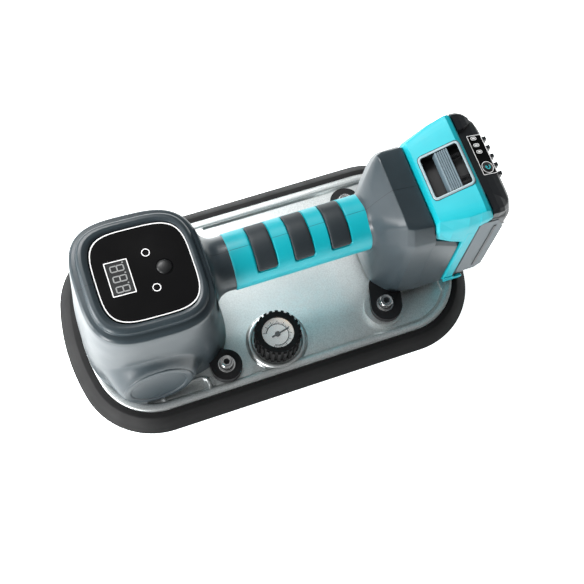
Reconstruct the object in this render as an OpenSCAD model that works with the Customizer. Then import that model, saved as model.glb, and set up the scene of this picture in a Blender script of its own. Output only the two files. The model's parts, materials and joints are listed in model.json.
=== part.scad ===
// Cordless vacuum suction-cup lifter: an oval suction plate with a rubber seal, a clamshell body with
// a grip, a small diaphragm vacuum pump, a display, a vacuum gauge and a slide-on battery.
// X runs along the grip towards the battery, Y across, Z up. The origin is the centre of the suction
// plate, on the plane where the seal meets the work.

/* [Suction plate] */
// Half length of the plate at its middle
plate_half_l = 132.5; // [125:0.5:140]
// Half width of the plate
plate_half_w = 62.7; // [60:0.1:66]
// Corner radius of the plate's outline
plate_corner_r = 40; // [30:1:45]
// Radius of the bowed ends
plate_end_r = 137; // [120:1:200]
// Height of the rim above the work
rim_z = 11.6; // [10:0.1:12]
// Height of the pocket floor
pocket_z = 9.6; // [9:0.1:10.5]
// Height of the plate's underside
plate_bottom_z = 5; // [4:0.1:6]

/* [Seal] */
// Width of the flat band round the plate
band_w = 4.5; // [3:0.1:6]
// Distance that the seal reaches past the plate
seal_reach = 12.45; // [10:0.05:14]
// Height of the flat band
band_z = 9.9; // [8:0.1:11]

/* [Grip] */
// Height of the grip's axis
grip_z = 78.5; // [70:0.5:85]
// Outer radius of the grip
grip_r = 18.7; // [16:0.1:20]
// Where the grip starts, next to the head
grip_x0 = -28.3; // [-32:0.1:-24]
// Where the grip ends, next to the battery mount
grip_x1 = 64.7; // [60:0.1:66]
// Start of the first soft pad
pad_x0 = -13.8; // [-16:0.1:-12]
// Width of a soft pad
pad_w = 14; // [10:0.5:16]
// Distance from one pad to the next
pad_pitch = 24.9; // [20:0.1:26]

/* [Display] */
// Centre of the display panel along X
panel_x = -81.8; // [-84:0.1:-80]
// Height of the panel's centre
panel_z = 104.7; // [103:0.1:106]
// Tilt of the panel towards the grip
panel_tilt = 5.9; // [0:0.1:8]
// Half length of the panel
panel_a = 30.9; // [30:0.1:32]
// Half width of the panel
panel_b = 30.6; // [30:0.1:32]

/* [Gauge] */
// Centre of the vacuum gauge along X
gauge_x = -5.8; // [-8:0.1:-4]
// Centre of the vacuum gauge across
gauge_y = -39.4; // [-41:0.1:-38]
// Radius over the ribs of the gauge's rubber boot
boot_r = 16; // [15:0.1:16.5]
// Number of ribs on the boot
boot_ribs = 24; // [16:1:30]

/* [Pump] */
// Position of the motor's axis along X
pump_x = -93; // [-94:0.5:-92]
// Height of the motor's axis
pump_z = 36; // [35:0.5:37]
// Throw of the eccentric
throw = 2; // [1:0.1:2]

/* [Battery] */
// Half width of the battery
pack_half_w = 37.8; // [37:0.1:38]
// Gap between battery and body
pack_gap = 0.6; // [0.5:0.1:0.8]
// Radius of one battery cell
cell_r = 9.15; // [9:0.05:9.2]
// Distance from cell to cell
cell_pitch = 18.6; // [18.5:0.1:18.7]

/* [Fasteners] */
// Shank radius of the foot screws
foot_screw_r = 2.5; // [2.5:0.1:3]
// Head radius of the foot screws
foot_head_r = 4.25; // [4:0.05:4.5]

/* [Hidden] */
$fn = 48;
eps = 0.01;
wall = 3;
ring_n = 40;
body_bottom = rim_z;

// Foot positions: beside the head and beside the battery mount
foot_a = [-45, 47.5];
foot_b = [73.3, 40.5];
foot_a_r = 10.7;
foot_b_r = 11;
foot_top = 19.3;
boss_b_top = 14;
flat_t = 1;
spring_t = 1.3;
// Vacuum ports through the plate
port = [-58, -8];
// Release valve across the head from the port
valve_x = -58;
valve_y = 24;
link_z = 15;
port_r = 3;
gauge_stem_r = 4.8;
// Body screws: [x, z] of each, all running across the body
screw_sites = [[-122, 23], [-115, 82], [-44.5, 24], [-50.5, 84], [78, 24], [80, 98]];
// Crank geometry
crank_y = 12;
can_r = 18.5;
shaft_r = 1.5;
ecc_r = 7;
ecc_z = pump_z + throw;
dia_z = 58;
// Battery slope
slope = 22.8;
slope_x = 100.2;
slope_z = 115.4;
function top_z(x) = slope_z + tan(slope) * (x - slope_x);
// Slide rail of the battery
rail_z0 = 22;
rail_z1 = 82;
cell_x = 137;
cell_z0 = 31.5;

// ---------- shared shapes ----------
function spow(v, e) = sign(v) * pow(abs(v), e);
// One closed ring of a superellipse in a level plane, tipped down towards +X
function ring_xy(x0, x1, b, n, z, tip) = [for (i = [0:ring_n - 1])
    let (t = 360 * (i + 0.5) / ring_n, x = (x0 + x1) / 2 + (x1 - x0) / 2 * spow(cos(t), 2 / n))
    [x, b * spow(sin(t), 2 / n), z - tan(tip) * (x - panel_x)]];
// One closed ring across the body, wider at the bottom by the taper
function ring_yz(x, z0, z1, b, n, taper) = [for (i = [0:ring_n - 1])
    let (t = 360 * (i + 0.5) / ring_n, v = spow(sin(t), 2 / n))
    [x, b * spow(cos(t), 2 / n) * (1 - taper * v), (z0 + z1) / 2 + (z1 - z0) / 2 * v]];
// One closed ring across the body with six rounded corners: top, shoulder and bottom on each side
function ring_hex(x, th, z1, sh, zs, bh, z0, t, steps = 5) =
    let (c = [[sh, zs], [th, z1], [-th, z1], [-sh, zs], [-bh, z0], [bh, z0]])
    [for (i = [0:5]) for (k = [0:steps])
        let (a = c[i] + t * (c[(i + 5) % 6] - c[i]), b = c[i] + t * (c[(i + 1) % 6] - c[i]), u = k / steps,
            p = (1 - u) * (1 - u) * a + 2 * u * (1 - u) * c[i] + u * u * b)
        [x, p[0], p[1]]];
// A skin over rings with the same number of points
module loft(rings) {
    m = len(rings[0]);
    last = len(rings) - 1;
    points = [for (r = rings) for (p = r) p];
    sides = [for (i = [0:last - 1]) for (j = [0:m - 1])
        let (k = (j + 1) % m, a = i * m, b = (i + 1) * m)
        each [[a + j, b + j, b + k], [a + j, b + k, a + k]]];
    caps = [[for (j = [0:m - 1]) j], [for (j = [m - 1:-1:0]) last * m + j]];
    polyhedron(points, concat(caps, sides), convexity = 6);
}
// A cylinder across the body
module across(x, z, r, y0, y1) {
    translate([x, y0, z]) rotate([-90, 0, 0]) cylinder(r = r, h = y1 - y0);
}
// A cylinder along the body
module along(y, z, r, x0, x1) {
    translate([x0, y, z]) rotate([0, 90, 0]) cylinder(r = r, h = x1 - x0);
}
module block(x0, x1, y0, y1, z0, z1) {
    translate([x0, y0, z0]) cube([x1 - x0, y1 - y0, z1 - z0]);
}
module pipe(r_out, r_in, h) {
    difference() {
        cylinder(r = r_out, h = h);
        translate([0, 0, -1]) cylinder(r = r_in, h = h + 2);
    }
}
// A round tube swept along a list of points
module sweep(path, r, sides = 8) {
    n = len(path);
    function dir(i) = let (a = path[max(i - 1, 0)], b = path[min(i + 1, n - 1)]) (b - a) / norm(b - a);
    function side(d) = let (s = abs(d[2]) > 0.9 ? [0, 1, 0] : [0, 0, 1], c = cross(d, s)) c / norm(c);
    rings = [for (i = [0:n - 1]) let (d = dir(i), u = side(d), w = cross(d, u))
        [for (j = [0:sides - 1]) path[i] + r * (cos(360 * j / sides) * u + sin(360 * j / sides) * w)]];
    loft(rings);
}
// Points of a smooth curve through four control points
function bend(a, b, c, d, steps = 8) = [for (i = [0:steps]) let (t = i / steps)
    pow(1 - t, 3) * a + 3 * pow(1 - t, 2) * t * b + 3 * (1 - t) * t * t * c + t * t * t * d];
module both_sides() {
    children();
    mirror([0, 1, 0]) children();
}
// Places its children on the tilted display plane
module on_panel() {
    translate([panel_x, 0, panel_z]) rotate([0, panel_tilt, 0]) children();
}
module superdisc(a, b, n, z0, z1) {
    points = [for (i = [0:ring_n - 1]) let (t = 360 * (i + 0.5) / ring_n)
        [a * spow(cos(t), 2 / n), b * spow(sin(t), 2 / n)]];
    translate([0, 0, z0]) linear_extrude(z1 - z0) polygon(points);
}

// ---------- plate outline ----------
corner_y = plate_half_w - plate_corner_r;
end_cx = plate_half_l - plate_end_r;
corner_x = end_cx + sqrt(pow(plate_end_r - plate_corner_r, 2) - pow(corner_y, 2));
corner_a = asin(corner_y / (plate_end_r - plate_corner_r));
// One quarter of the outline, grown by d, from the end's middle to the long side
function quarter(d) = concat(
    [for (i = [0:5]) let (t = corner_a * i / 5) [end_cx + (plate_end_r + d) * cos(t),
        (plate_end_r + d) * sin(t)]],
    [for (i = [1:10]) let (t = corner_a + (90 - corner_a) * i / 10)
        [corner_x + (plate_corner_r + d) * cos(t), corner_y + (plate_corner_r + d) * sin(t)]]);
function flip(list) = [for (i = [len(list) - 1:-1:0]) list[i]];
function outline(d) = let (q = quarter(d), top = concat(q, [for (p = flip(q)) [-p[0], p[1]]]))
    concat(top, [for (i = [len(top) - 2:-1:1]) [top[i][0], -top[i][1]]]);
module plate_prism(d, z0, z1) {
    translate([0, 0, z0]) linear_extrude(z1 - z0) polygon(outline(d));
}
module plate_frustum(d0, z0, d1, z1) {
    loft([[for (p = outline(d0)) [p[0], p[1], z0]], [for (p = outline(d1)) [p[0], p[1], z1]]]);
}

// ---------- suction base ----------
module foot_sites() {
    both_sides() {
        translate([foot_a[0], foot_a[1], 0]) children();
        translate([foot_b[0], foot_b[1], 0]) children();
    }
}
module pocket_shape() {
    difference() {
        intersection() {
            plate_prism(-5.5, pocket_z, rim_z + 1);
            block(-30, 118, -60, 60, 0, 20);
        }
        // Land under the battery mount
        block(72, 108, -33, 33, 0, 20);
        translate([gauge_x, gauge_y, 0]) cylinder(r = 20.6, h = 20);
        both_sides() translate([foot_b[0], foot_b[1], 0]) cylinder(r = 14, h = 20);
        both_sides() translate([foot_a[0], foot_a[1], 0]) cylinder(r = 18, h = 20);
    }
}
module base_plate() {
    color("silver") difference() {
        union() {
            plate_prism(0, plate_bottom_z, rim_z);
            both_sides() translate([foot_b[0], foot_b[1], rim_z]) cylinder(r = 14, h = boss_b_top - rim_z);
        }
        pocket_shape();
        // Recess that clears the round motor boss
        hull() for (x = [-98, -60]) translate([x, -54.5, 8.8]) cylinder(r = 5.2, h = 5, $fn = 32);
        // Gap between the two bosses and the body's land
        block(66, 108, -34, 34, rim_z, 20);
        foot_sites() translate([0, 0, 4]) cylinder(r = foot_screw_r, h = 20);
        translate([gauge_x, gauge_y, 0]) cylinder(r = gauge_stem_r, h = 20);
        translate([gauge_x, gauge_y, rim_z - 1.2]) cylinder(r = 16.6, h = 5);
        translate([port[0], port[1], 0]) cylinder(r = port_r, h = 20);
        translate([port[0], port[1], 0]) cylinder(r = 8, h = 8);
        // Groove that holds the seal's tongue
        difference() {
            plate_prism(2, 7.6, 9);
            plate_prism(-3, 7, 9.6);
        }
        // Vacuum space under the plate
        difference() {
            plate_prism(-9, 0, 6.4);
            for (x = [-90, -30, 30, 90]) block(x - 2, x + 2, -70, 70, 0, 10);
            for (a = [foot_a, foot_b]) both_sides() translate([a[0], a[1], 0]) cylinder(r = 8, h = 10);
            translate([gauge_x, gauge_y, 0]) cylinder(r = 9, h = 10);
            translate([port[0], port[1], 0]) cylinder(r = 12, h = 10);
        }
    }
}
module seal_ring() {
    color([0.1, 0.1, 0.1]) difference() {
        union() {
            plate_prism(band_w, 5.4, band_z);
            plate_frustum(seal_reach, 0, band_w, band_z);
        }
        plate_prism(0, -1, 20);
        plate_frustum(8.9, -eps, 1.2, 6.6);
    }
    color([0.1, 0.1, 0.1]) difference() {
        plate_prism(0, 7.6, 9);
        plate_prism(-3, 7, 10);
    }
}
module inlet_filter() {
    color("ivory") translate([port[0], port[1], 5.4]) cylinder(r = 7.9, h = 2.5);
}
// The four feet reach under the body's wall, so the body is cut out for them
module foot_shapes() {
    both_sides() {
        hull() {
            translate([foot_a[0], foot_a[1], rim_z]) cylinder(r = foot_a_r, h = foot_top - rim_z);
            translate([foot_a[0] - 4, foot_a[1] - 6, rim_z]) cylinder(r = 7, h = foot_top - rim_z);
        }
        hull() {
            translate([foot_b[0] + 1, foot_b[1] + 1, boss_b_top]) cylinder(r = foot_b_r,
                h = foot_top - boss_b_top);
            translate([foot_b[0] + 4, foot_b[1] - 12, boss_b_top]) cylinder(r = foot_b_r,
                h = foot_top - boss_b_top);
        }
    }
}
module mounting_feet() {
    color([0.07, 0.07, 0.08]) difference() {
        foot_shapes();
        foot_sites() cylinder(r = foot_screw_r + 0.3, h = 40);
    }
}
module foot_screws() {
    color("lightgray") foot_sites() difference() {
        union() {
            translate([0, 0, 6.5]) cylinder(r = foot_screw_r, h = 17);
            translate([0, 0, foot_top + flat_t + spring_t]) cylinder(r = foot_head_r, h = 5);
        }
        translate([0, 0, foot_top + flat_t + spring_t + 2.4]) cylinder(r = 2.3, h = 5, $fn = 6);
    }
}
module foot_washers() {
    color("gainsboro") foot_sites() {
        translate([0, 0, foot_top]) pipe(5.9, foot_screw_r, flat_t);
        difference() {
            translate([0, 0, foot_top + flat_t]) pipe(4.6, foot_screw_r, spring_t);
            translate([0, -0.4, foot_top + flat_t + 0.05]) cube([8, 0.8, spring_t + 1]);
        }
    }
}

// ---------- vacuum gauge ----------
module at_gauge(z = 0) {
    translate([gauge_x, gauge_y, z]) children();
}
module gauge_case() {
    color("goldenrod") at_gauge() {
        difference() {
            translate([0, 0, 12.6]) cylinder(r = 13.4, h = 14);
            translate([0, 0, 15]) cylinder(r = 12.3, h = 20);
            translate([0, 0, 0]) cylinder(r = 1.2, h = 20);
        }
        translate([0, 0, 6]) pipe(gauge_stem_r, 1.2, 6.6);
    }
}
module gauge_boot() {
    color([0.08, 0.08, 0.08]) at_gauge() difference() {
        union() {
            translate([0, 0, rim_z - 1.2]) cylinder(r = 14.6, h = 18.2);
            for (i = [0:boot_ribs - 1]) rotate(360 * i / boot_ribs)
                translate([13, -1.05, rim_z - 0.9]) cube([boot_r - 13, 2.1, 17.2]);
        }
        translate([0, 0, 0]) cylinder(r = gauge_stem_r, h = 20);
        translate([0, 0, 12.6]) cylinder(r = 13.4, h = 14);
        translate([0, 0, 20]) cylinder(r = 10.9, h = 20);
    }
}
module gauge_dial() {
    color("white") at_gauge(22.6) pipe(12.25, 0.9, 0.6);
}
module bourdon_tube() {
    color("goldenrod") at_gauge(18) {
        rotate_extrude(angle = 250) translate([8.6, 0]) circle(r = 1.1, $fn = 16);
        translate([7.2, -1.4, -3]) cube([2.8, 1.4, 4.2]);
    }
}
module gauge_needle() {
    color([0.05, 0.05, 0.05]) at_gauge() {
        translate([0, 0, 15.2]) cylinder(r = 0.6, h = 9.8);
        translate([0, 0, 23.9]) cylinder(r = 1.9, h = 1);
        rotate(13) translate([-4.4, -0.55, 24]) cube([13.2, 1.1, 0.5]);
    }
}
module gauge_lens() {
    color([0.8, 0.9, 0.95, 0.35]) at_gauge(25.4) cylinder(r = 12.25, h = 1.1);
}

// ---------- clamshell body ----------
// Rings of the head: [left x, right x, half width, exponent, height, tilt]
head_rings = [[-132, -35.6, 46.6, 3.0, body_bottom, 0], [-132, -37, 46.3, 3.0, 24, 0],
    [-131.2, -38.4, 45.6, 3.05, 40, 0], [-129.2, -39.7, 44.8, 3.1, 60, 0.6],
    [-127.2, -40.8, 43.8, 3.15, 80, 3], [-125.7, -41.6, 42.8, 3.2, 96.5, panel_tilt],
    [-125.1, -42, 42.3, 3.2, 100.4, panel_tilt], [-124, -43.1, 41.2, 3.25, 101.6, panel_tilt],
    [-120.4, -46.2, 37.7, 3.6, 102.6, panel_tilt], [-119.7, -46.8, 37, 3.7, 104.6, panel_tilt],
    [-118.4, -47.9, 35.8, 3.75, 106, panel_tilt], [-116.6, -49.6, 34, 3.8, 106.5, panel_tilt]];
module head_solid(d = 0) {
    loft([for (r = head_rings) ring_xy(r[0] + d, r[1] - d, r[2] - d, r[3], r[4], r[5])]);
}
module head_cavity() {
    intersection() {
        loft([for (i = [0, 2, 4, 6, 8, 9]) let (r = head_rings[i])
            ring_xy(r[0] + wall, r[1] - wall, r[2] - wall, r[3], r[4] - (i == 0 ? 1 : 0), r[5])]);
        on_panel() translate([-60, -60, -110]) cube([120, 120, 105.5]);
    }
}
// Rings of the battery mount: [x, half top, top, half side, shoulder, half bottom, bottom, rounding]
mount_rings = [[57, 10.3, 96.3, 20.6, grip_z, 10.3, 60.7, 0.49],
    [62, 10.3, 96.3, 20.6, grip_z, 10.3, 60.7, 0.49],
    [64.9, 11.5, 97.8, 21, 80, 13, 46, 0.42], [67, 14.5, 100.4, 22, 84, 18.5, 26, 0.34],
    [70, 18, 104.6, 25, 89, 24, body_bottom, 0.26], [76, 24, 111.8, 30.8, 94, 30.2, body_bottom, 0.18],
    [79.6, 26.4, 115.3, 33.6, 97, 33, body_bottom, 0.15], [84, 28, 114, 35.7, 98, 35, body_bottom, 0.13],
    [98, 28.8, 110.7, 36.2, 98, 36.4, body_bottom, 0.12]];
cheek_rings = [[97, 34, 98.4, 36.3, 94, 36.4, body_bottom, 0.2], [101, 34, 95.8, 36.4, 92, 36.5, body_bottom, 0.2],
    [117, 34.4, 84.4, 36.4, 80, 36.5, body_bottom, 0.2]];
function hex_from(r, d) = ring_hex(r[0], r[1] - d, r[2] - d, r[3] - d, r[4], r[5] - d, r[6] + d, r[7]);
module mount_solid() {
    loft([for (r = mount_rings) hex_from(r, 0)]);
    loft([for (r = cheek_rings) hex_from(r, 0)]);
}
module mount_cavity() {
    loft([ring_hex(65, 8, 92, 15, grip_z, 8, 66, 0.4), ring_hex(71, 15, 100.5, 21, 86, 20, 17, 0.26),
        ring_hex(79, 23, 110.5, 29.8, 94, 29, 16, 0.16), ring_hex(93.6, 25.6, 108.4, 32.6, 95, 32, 16, 0.14)]);
    // Bay that the battery's shoe drops into
    block(97, 130, -32.6, 32.6, 17, 140);
    block(92, 98, -24, 24, 24, 80);
}
// Round boss over the motor's end
module motor_boss(r, depth) {
    translate([pump_x, -52.8, pump_z]) rotate([-5, 0, 0]) rotate([90, 0, 0])
        translate([0, 0, -22]) cylinder(r = r, h = 22 - depth, $fn = 64);
}
module body_solid() {
    head_solid();
    mount_solid();
    along(0, grip_z, 18, -50, grip_x0);
    along(0, grip_z, 16.3, grip_x0 - 1, 66);
    // Fillet between head and neck
    translate([grip_x0, 0, grip_z]) rotate([0, -90, 0]) rotate_extrude($fn = 48)
        polygon(concat([[0, 0]], [for (t = [0:15:75]) [18 + 9 * (1 - cos(t)), 6 + 9 * sin(t)]],
            [[26, 20], [0, 20]]));
    motor_boss(24, 0);
}
module body_hollow() {
    head_cavity();
    mount_cavity();
    along(0, grip_z, 13.4, -60, 66);
    motor_boss(20.8, 3.4);
    // Shallow disc recess in the boss's face
    translate([pump_x, -52.8, pump_z]) rotate([-5, 0, 0]) rotate([90, 0, 0])
        translate([0, 0, -1.2]) cylinder(r = 18.6, h = 5);
    on_panel() superdisc(panel_a + 0.2, panel_b + 0.2, 3.84, -2, 6);
    on_panel() {
        translate([-23, -11.6, -8]) cube([14.8, 23.2, 10]);
        translate([12.5, 0, -8]) cylinder(r = 5.4, h = 10);
        for (v = [-12, 12]) translate([4.1, v, -8]) cylinder(r = 2.2, h = 10);
    }
    translate([0, 0, body_bottom - 6]) block(-140, 130, -60, 60, 0, 6);
}
// Posts for the body screws and for the control board
module body_posts() {
    for (s = screw_sites) intersection() {
        across(s[0], s[1], 4.2, -60, 60);
        union() {
            head_solid(1);
            block(60, 92, -30, 30, 12, 104);
        }
    }
}
module screw_holes() {
    for (s = screw_sites) {
        across(s[0], s[1], 1.5, -14, 60);
        across(s[0], s[1], 3.2, 20, 60);
    }
}
module housing(side) {
    difference() {
        intersection() {
            union() {
                difference() {
                    body_solid();
                    body_hollow();
                }
                body_posts();
            }
            translate([-200, side < 0 ? -100 : 0, 0]) cube([400, 100, 200]);
        }
        screw_holes();
        foot_shapes();
    }
}
module right_housing() {
    color("dimgray") housing(-1);
}
module left_housing() {
    color("dimgray") housing(1);
}
module housing_screws() {
    color("gray") for (s = screw_sites) {
        across(s[0], s[1], 1.45, -13, 20);
        difference() {
            across(s[0], s[1], 3, 20, 22.2);
            across(s[0], s[1], 1.1, 20.8, 24);
        }
    }
}
module grip_ring(r_out) {
    difference() {
        along(0, grip_z, r_out, grip_x0, grip_x1);
        along(0, grip_z, 16.3, grip_x0 - 1, grip_x1 + 1);
    }
}
// Stretches of the grip that the soft pads cover, sixty degrees each way from the top
module pad_space(r_out, gap) {
    for (i = [0:2]) intersection() {
        difference() {
            along(0, grip_z, r_out, pad_x0 + i * pad_pitch + gap, pad_x0 + i * pad_pitch + pad_w - gap);
            along(0, grip_z, 16.3, -100, 100);
        }
        translate([-100, 0, grip_z]) rotate([90, 0, 90]) linear_extrude(200)
            polygon([[0, 0], [50, 50 / tan(62 - gap)], [50, 60], [-50, 60], [-50, 50 / tan(62 - gap)]]);
    }
}
module grip_shell(side) {
    difference() {
        intersection() {
            grip_ring(grip_r);
            translate([-200, side < 0 ? -100 : 0, 0]) cube([400, 100, 200]);
        }
        pad_space(30, 0);
        mount_solid();
    }
}
module grip_shell_right() {
    color("darkturquoise") grip_shell(-1);
}
module grip_shell_left() {
    color("darkturquoise") grip_shell(1);
}
module grip_pads() {
    color("darkslategray") pad_space(grip_r + 0.25, 0.15);
}

// ---------- display and controls ----------
module display_panel() {
    color([0.03, 0.03, 0.03]) on_panel() difference() {
        superdisc(panel_a, panel_b, 3.84, -2, 0);
        translate([-22.6, -11.25, -3]) cube([14.2, 22.5, 6]);
        translate([12.5, 0, -3]) cylinder(r = 5.2, h = 6);
        for (v = [-12, 12]) translate([4.1, v, -3]) cylinder(r = 2, h = 6);
    }
}
module display_module() {
    color([0.3, 0.28, 0.27]) on_panel() {
        translate([-22.3, -10.95, -13]) cube([13.6, 21.9, 12.4]);
    }
}
module indicator_leds() {
    color("seashell") on_panel() for (v = [-12, 12]) translate([4.1, v, -13]) {
        cylinder(r = 1.8, h = 11.6);
        translate([0, 0, 11.2]) sphere(r = 1.8, $fn = 24);
    }
}
module control_board() {
    color("darkgreen") on_panel() superdisc(27, 26.7, 4, -14.6, -13);
    // Tactile switch under the power button
    color("dimgray") on_panel() {
        translate([9.5, -3, -13]) cube([6, 6, 2.4]);
        translate([12.5, 0, -10.7]) cylinder(r = 1.7, h = 0.7);
    }
    // Pressure sensor with its hose nipple, and a connector
    color("black") on_panel() {
        translate([12, -18, -19]) cube([9, 9, 4.4]);
        translate([16.5, -13.5, -24]) cylinder(r = 1.5, h = 5.2);
        translate([-18, 6, -20]) cube([12, 8, 5.4]);
    }
}
module power_button() {
    color([0.05, 0.05, 0.05]) on_panel() translate([12.5, 0, 0]) {
        translate([0, 0, -5]) cylinder(r = 4.95, h = 5.4);
        translate([0, 0, -0.4]) intersection() {
            translate([0, 0, -9.4]) sphere(r = 11, $fn = 64);
            cylinder(r = 4.95, h = 3);
        }
        translate([0, 0, -6.2]) cylinder(r = 6.1, h = 1.3);
        translate([0, 0, -9.1]) cylinder(r = 2, h = 3);
    }
}

// ---------- motor ----------
module motor_can() {
    color("silver") difference() {
        across(pump_x, pump_z, can_r, -46, 2);
        across(pump_x, pump_z, can_r - 1.5, -44.5, 3);
        across(pump_x, pump_z, 4, -47, -40);
    }
    color("silver") difference() {
        across(pump_x, pump_z, 5.5, -44.6, -41.5);
        across(pump_x, pump_z, 4, -47, -40);
    }
}
module motor_magnets() {
    color([0.2, 0.2, 0.22]) intersection() {
        difference() {
            across(pump_x, pump_z, can_r - 1.5, -38, -10);
            across(pump_x, pump_z, 14.2, -39, -9);
        }
        union() {
            block(pump_x - 30, pump_x - 7, -60, 0, pump_z - 12, pump_z + 12);
            block(pump_x + 7, pump_x + 30, -60, 0, pump_z - 12, pump_z + 12);
        }
    }
}
module motor_end_bell() {
    color([0.15, 0.15, 0.15]) difference() {
        across(pump_x, pump_z, can_r - 1.5, -1.2, 2);
        across(pump_x, pump_z, 4, -4, 5);
    }
}
module motor_bearings() {
    color("gainsboro") for (y = [-44.6, -1.2]) difference() {
        across(pump_x, pump_z, 4, y, y + 3.1);
        across(pump_x, pump_z, shaft_r + 0.04, y - 1, y + 5);
    }
}
module motor_shaft() {
    color("silver") across(pump_x, pump_z, shaft_r, -44.4, 17.5);
}
module motor_armature() {
    color([0.45, 0.45, 0.48]) difference() {
        across(pump_x, pump_z, 13.4, -36, -12);
        across(pump_x, pump_z, shaft_r, -40, 0);
        for (i = [0:4]) translate([pump_x, 0, pump_z]) rotate([0, 72 * i, 0])
            block(6, 12.2, -37, -11, -2.6, 2.6);
        for (i = [0:4]) translate([pump_x, 0, pump_z]) rotate([0, 72 * i, 0])
            block(12, 15, -37, -11, -0.8, 0.8);
    }
}
module motor_windings() {
    color("peru") {
        for (i = [0:4]) translate([pump_x, 0, pump_z]) rotate([0, 72 * i, 0])
            block(6.3, 11.9, -38.6, -9.4, -2.3, 2.3);
        // Commutator
        difference() {
            across(pump_x, pump_z, 4.2, -8.6, -3.6);
            across(pump_x, pump_z, shaft_r, -9, -3);
        }
    }
}

// ---------- pump ----------
module eccentric() {
    color("darkkhaki") difference() {
        union() {
            across(pump_x, ecc_z, ecc_r, 9.5, 14.5);
            across(pump_x, pump_z, 4, 7.6, 9.5);
        }
        across(pump_x, pump_z, shaft_r, 5, 20);
    }
}
module crank_bearing() {
    color("gainsboro") difference() {
        across(pump_x, ecc_z, 10, 9.7, 14.3);
        across(pump_x, ecc_z, ecc_r + 0.05, 8, 16);
    }
}
module connecting_rod() {
    color("ivory") difference() {
        union() {
            across(pump_x, ecc_z, 12.6, 9.7, 14.3);
            block(pump_x - 3, pump_x + 3, 10.4, 13.6, ecc_z + 11, dia_z - 1);
            translate([pump_x, crank_y, dia_z - 1.6]) cylinder(r = 7.2, h = 3.4);
        }
        across(pump_x, ecc_z, 10, 5, 20);
    }
}
module crankcase() {
    color([0.2, 0.2, 0.22]) difference() {
        union() {
            block(pump_x - 19, pump_x + 19, 2.6, 22, 16, 56);
            block(pump_x - 17.5, pump_x + 17.5, crank_y - 17.5, crank_y + 17.5, 55, dia_z);
        }
        across(pump_x, pump_z, 16.6, 6, 19.4);
        block(pump_x - 11.6, pump_x + 11.6, 6, 19.4, pump_z, 55);
        // Room for the rod's head at the bottom of its stroke
        block(pump_x - 10, pump_x + 10, 4.2, 19.8, 51, 55);
        translate([pump_x, crank_y, 53]) cylinder(r = 10.2, h = 8);
        across(pump_x, pump_z, 4.6, 0, 8);
    }
}
module diaphragm() {
    color([0.12, 0.12, 0.12]) translate([pump_x, crank_y, dia_z]) pipe(16.5, 10.2, 2);
}
module valve_plate() {
    color("ivory") translate([pump_x, crank_y, dia_z + 2]) difference() {
        cylinder(r = 16.5, h = 2.6);
        translate([0, 0, -1]) cylinder(r = 9.6, h = 2);
        for (x = [-5, 5]) translate([x, 0, -1]) cylinder(r = 1.2, h = 5);
    }
}
module pump_head() {
    color([0.25, 0.25, 0.27]) difference() {
        union() {
            translate([pump_x, crank_y, dia_z + 4.6]) cylinder(r = 16.5, h = 10);
            along(crank_y, dia_z + 10, 2.4, pump_x + 12, pump_x + 24);
            along(crank_y, dia_z + 10, 2.4, pump_x - 23, pump_x - 12);
        }
        for (x = [-6, 6]) translate([pump_x + x, crank_y, dia_z + 4]) cylinder(r = 4.6, h = 7.6);
        along(crank_y, dia_z + 10, 1.3, pump_x + 5, pump_x + 25);
        along(crank_y, dia_z + 10, 1.3, pump_x - 24, pump_x - 5);
    }
}
module pump_mounts() {
    color([0.1, 0.1, 0.1]) {
        for (x = [-13, 13]) translate([pump_x + x, crank_y, rim_z]) cylinder(r = 4.5, h = 16 - rim_z);
        difference() {
            block(pump_x - 13, pump_x + 13, -34, -14, rim_z, 24);
            across(pump_x, pump_z, can_r, -40, 0);
        }
    }
}

// ---------- vacuum circuit ----------
barbs = [[-62, -12], [-54, -12], [-54, -4]];
module vacuum_manifold() {
    color([0.3, 0.3, 0.32]) difference() {
        union() {
            block(-66, -50, -16, 0, rim_z, 23);
            for (b = barbs) translate([b[0], b[1], 23]) cylinder(r = 1.9, h = 7);
            across(-58, link_z, 1.9, -1, 5);
        }
        translate([port[0], port[1], 0]) cylinder(r = port_r, h = 17);
        for (b = barbs) translate([b[0], b[1], 19]) cylinder(r = 1, h = 20);
        block(-63, -53, -13, -3, 14, 20);
        across(-58, link_z, 1, -4, 6);
    }
}
module check_valve() {
    color("white") {
        along(-22, 52, 5.5, -68, -56);
        along(-22, 52, 1.9, -73, -68);
        along(-22, 52, 1.9, -56, -51);
    }
}
module at_valve(z) {
    translate([valve_x, valve_y, z]) children();
}
module release_valve() {
    color("silver") difference() {
        union() {
            block(valve_x - 9, valve_x + 9, valve_y - 9, valve_y + 9, rim_z, 19);
            block(valve_x - 10, valve_x - 9, valve_y - 9, valve_y + 9, rim_z, 45);
            block(valve_x - 10, valve_x + 8, valve_y - 9, valve_y + 8, 44, 45.2);
            across(valve_x, link_z, 1.9, valve_y - 14, valve_y - 8);
        }
        at_valve(13) cylinder(r = 3.4, h = 40);
        across(valve_x, link_z, 1, valve_y - 15, valve_y - 2);
    }
}
module valve_coil() {
    color("saddlebrown") at_valve(19) pipe(8.8, 3.4, 25);
}
module valve_plunger() {
    color("lightgray") at_valve(13.5) cylinder(r = 3.1, h = 24);
}
module plunger_spring() {
    color("gray") at_valve(37.5) pipe(2.6, 2, 8.5);
}
module vacuum_hoses() {
    color([0.85, 0.87, 0.88]) {
        // Port to check valve, check valve to pump, port to pressure sensor, port to release valve
        sweep(bend([-62, -12, 25], [-62, -12, 44], [-38, -22, 46], [-52, -22, 52]), 2.8);
        sweep(bend([-72, -22, 52], [-82, -22, 56], [-58, 12, 60], [-71, 12, 68]), 2.8);
        sweep(bend([-54, -12, 25], [-53, -12, 54], [-67, -13.5, 62], [-67.5, -13.5, 80.6]), 2.6);
        sweep([[-58, 0.5, link_z], [-58, 7, link_z], [-58, 14, link_z]], 2.6);
    }
}
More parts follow.
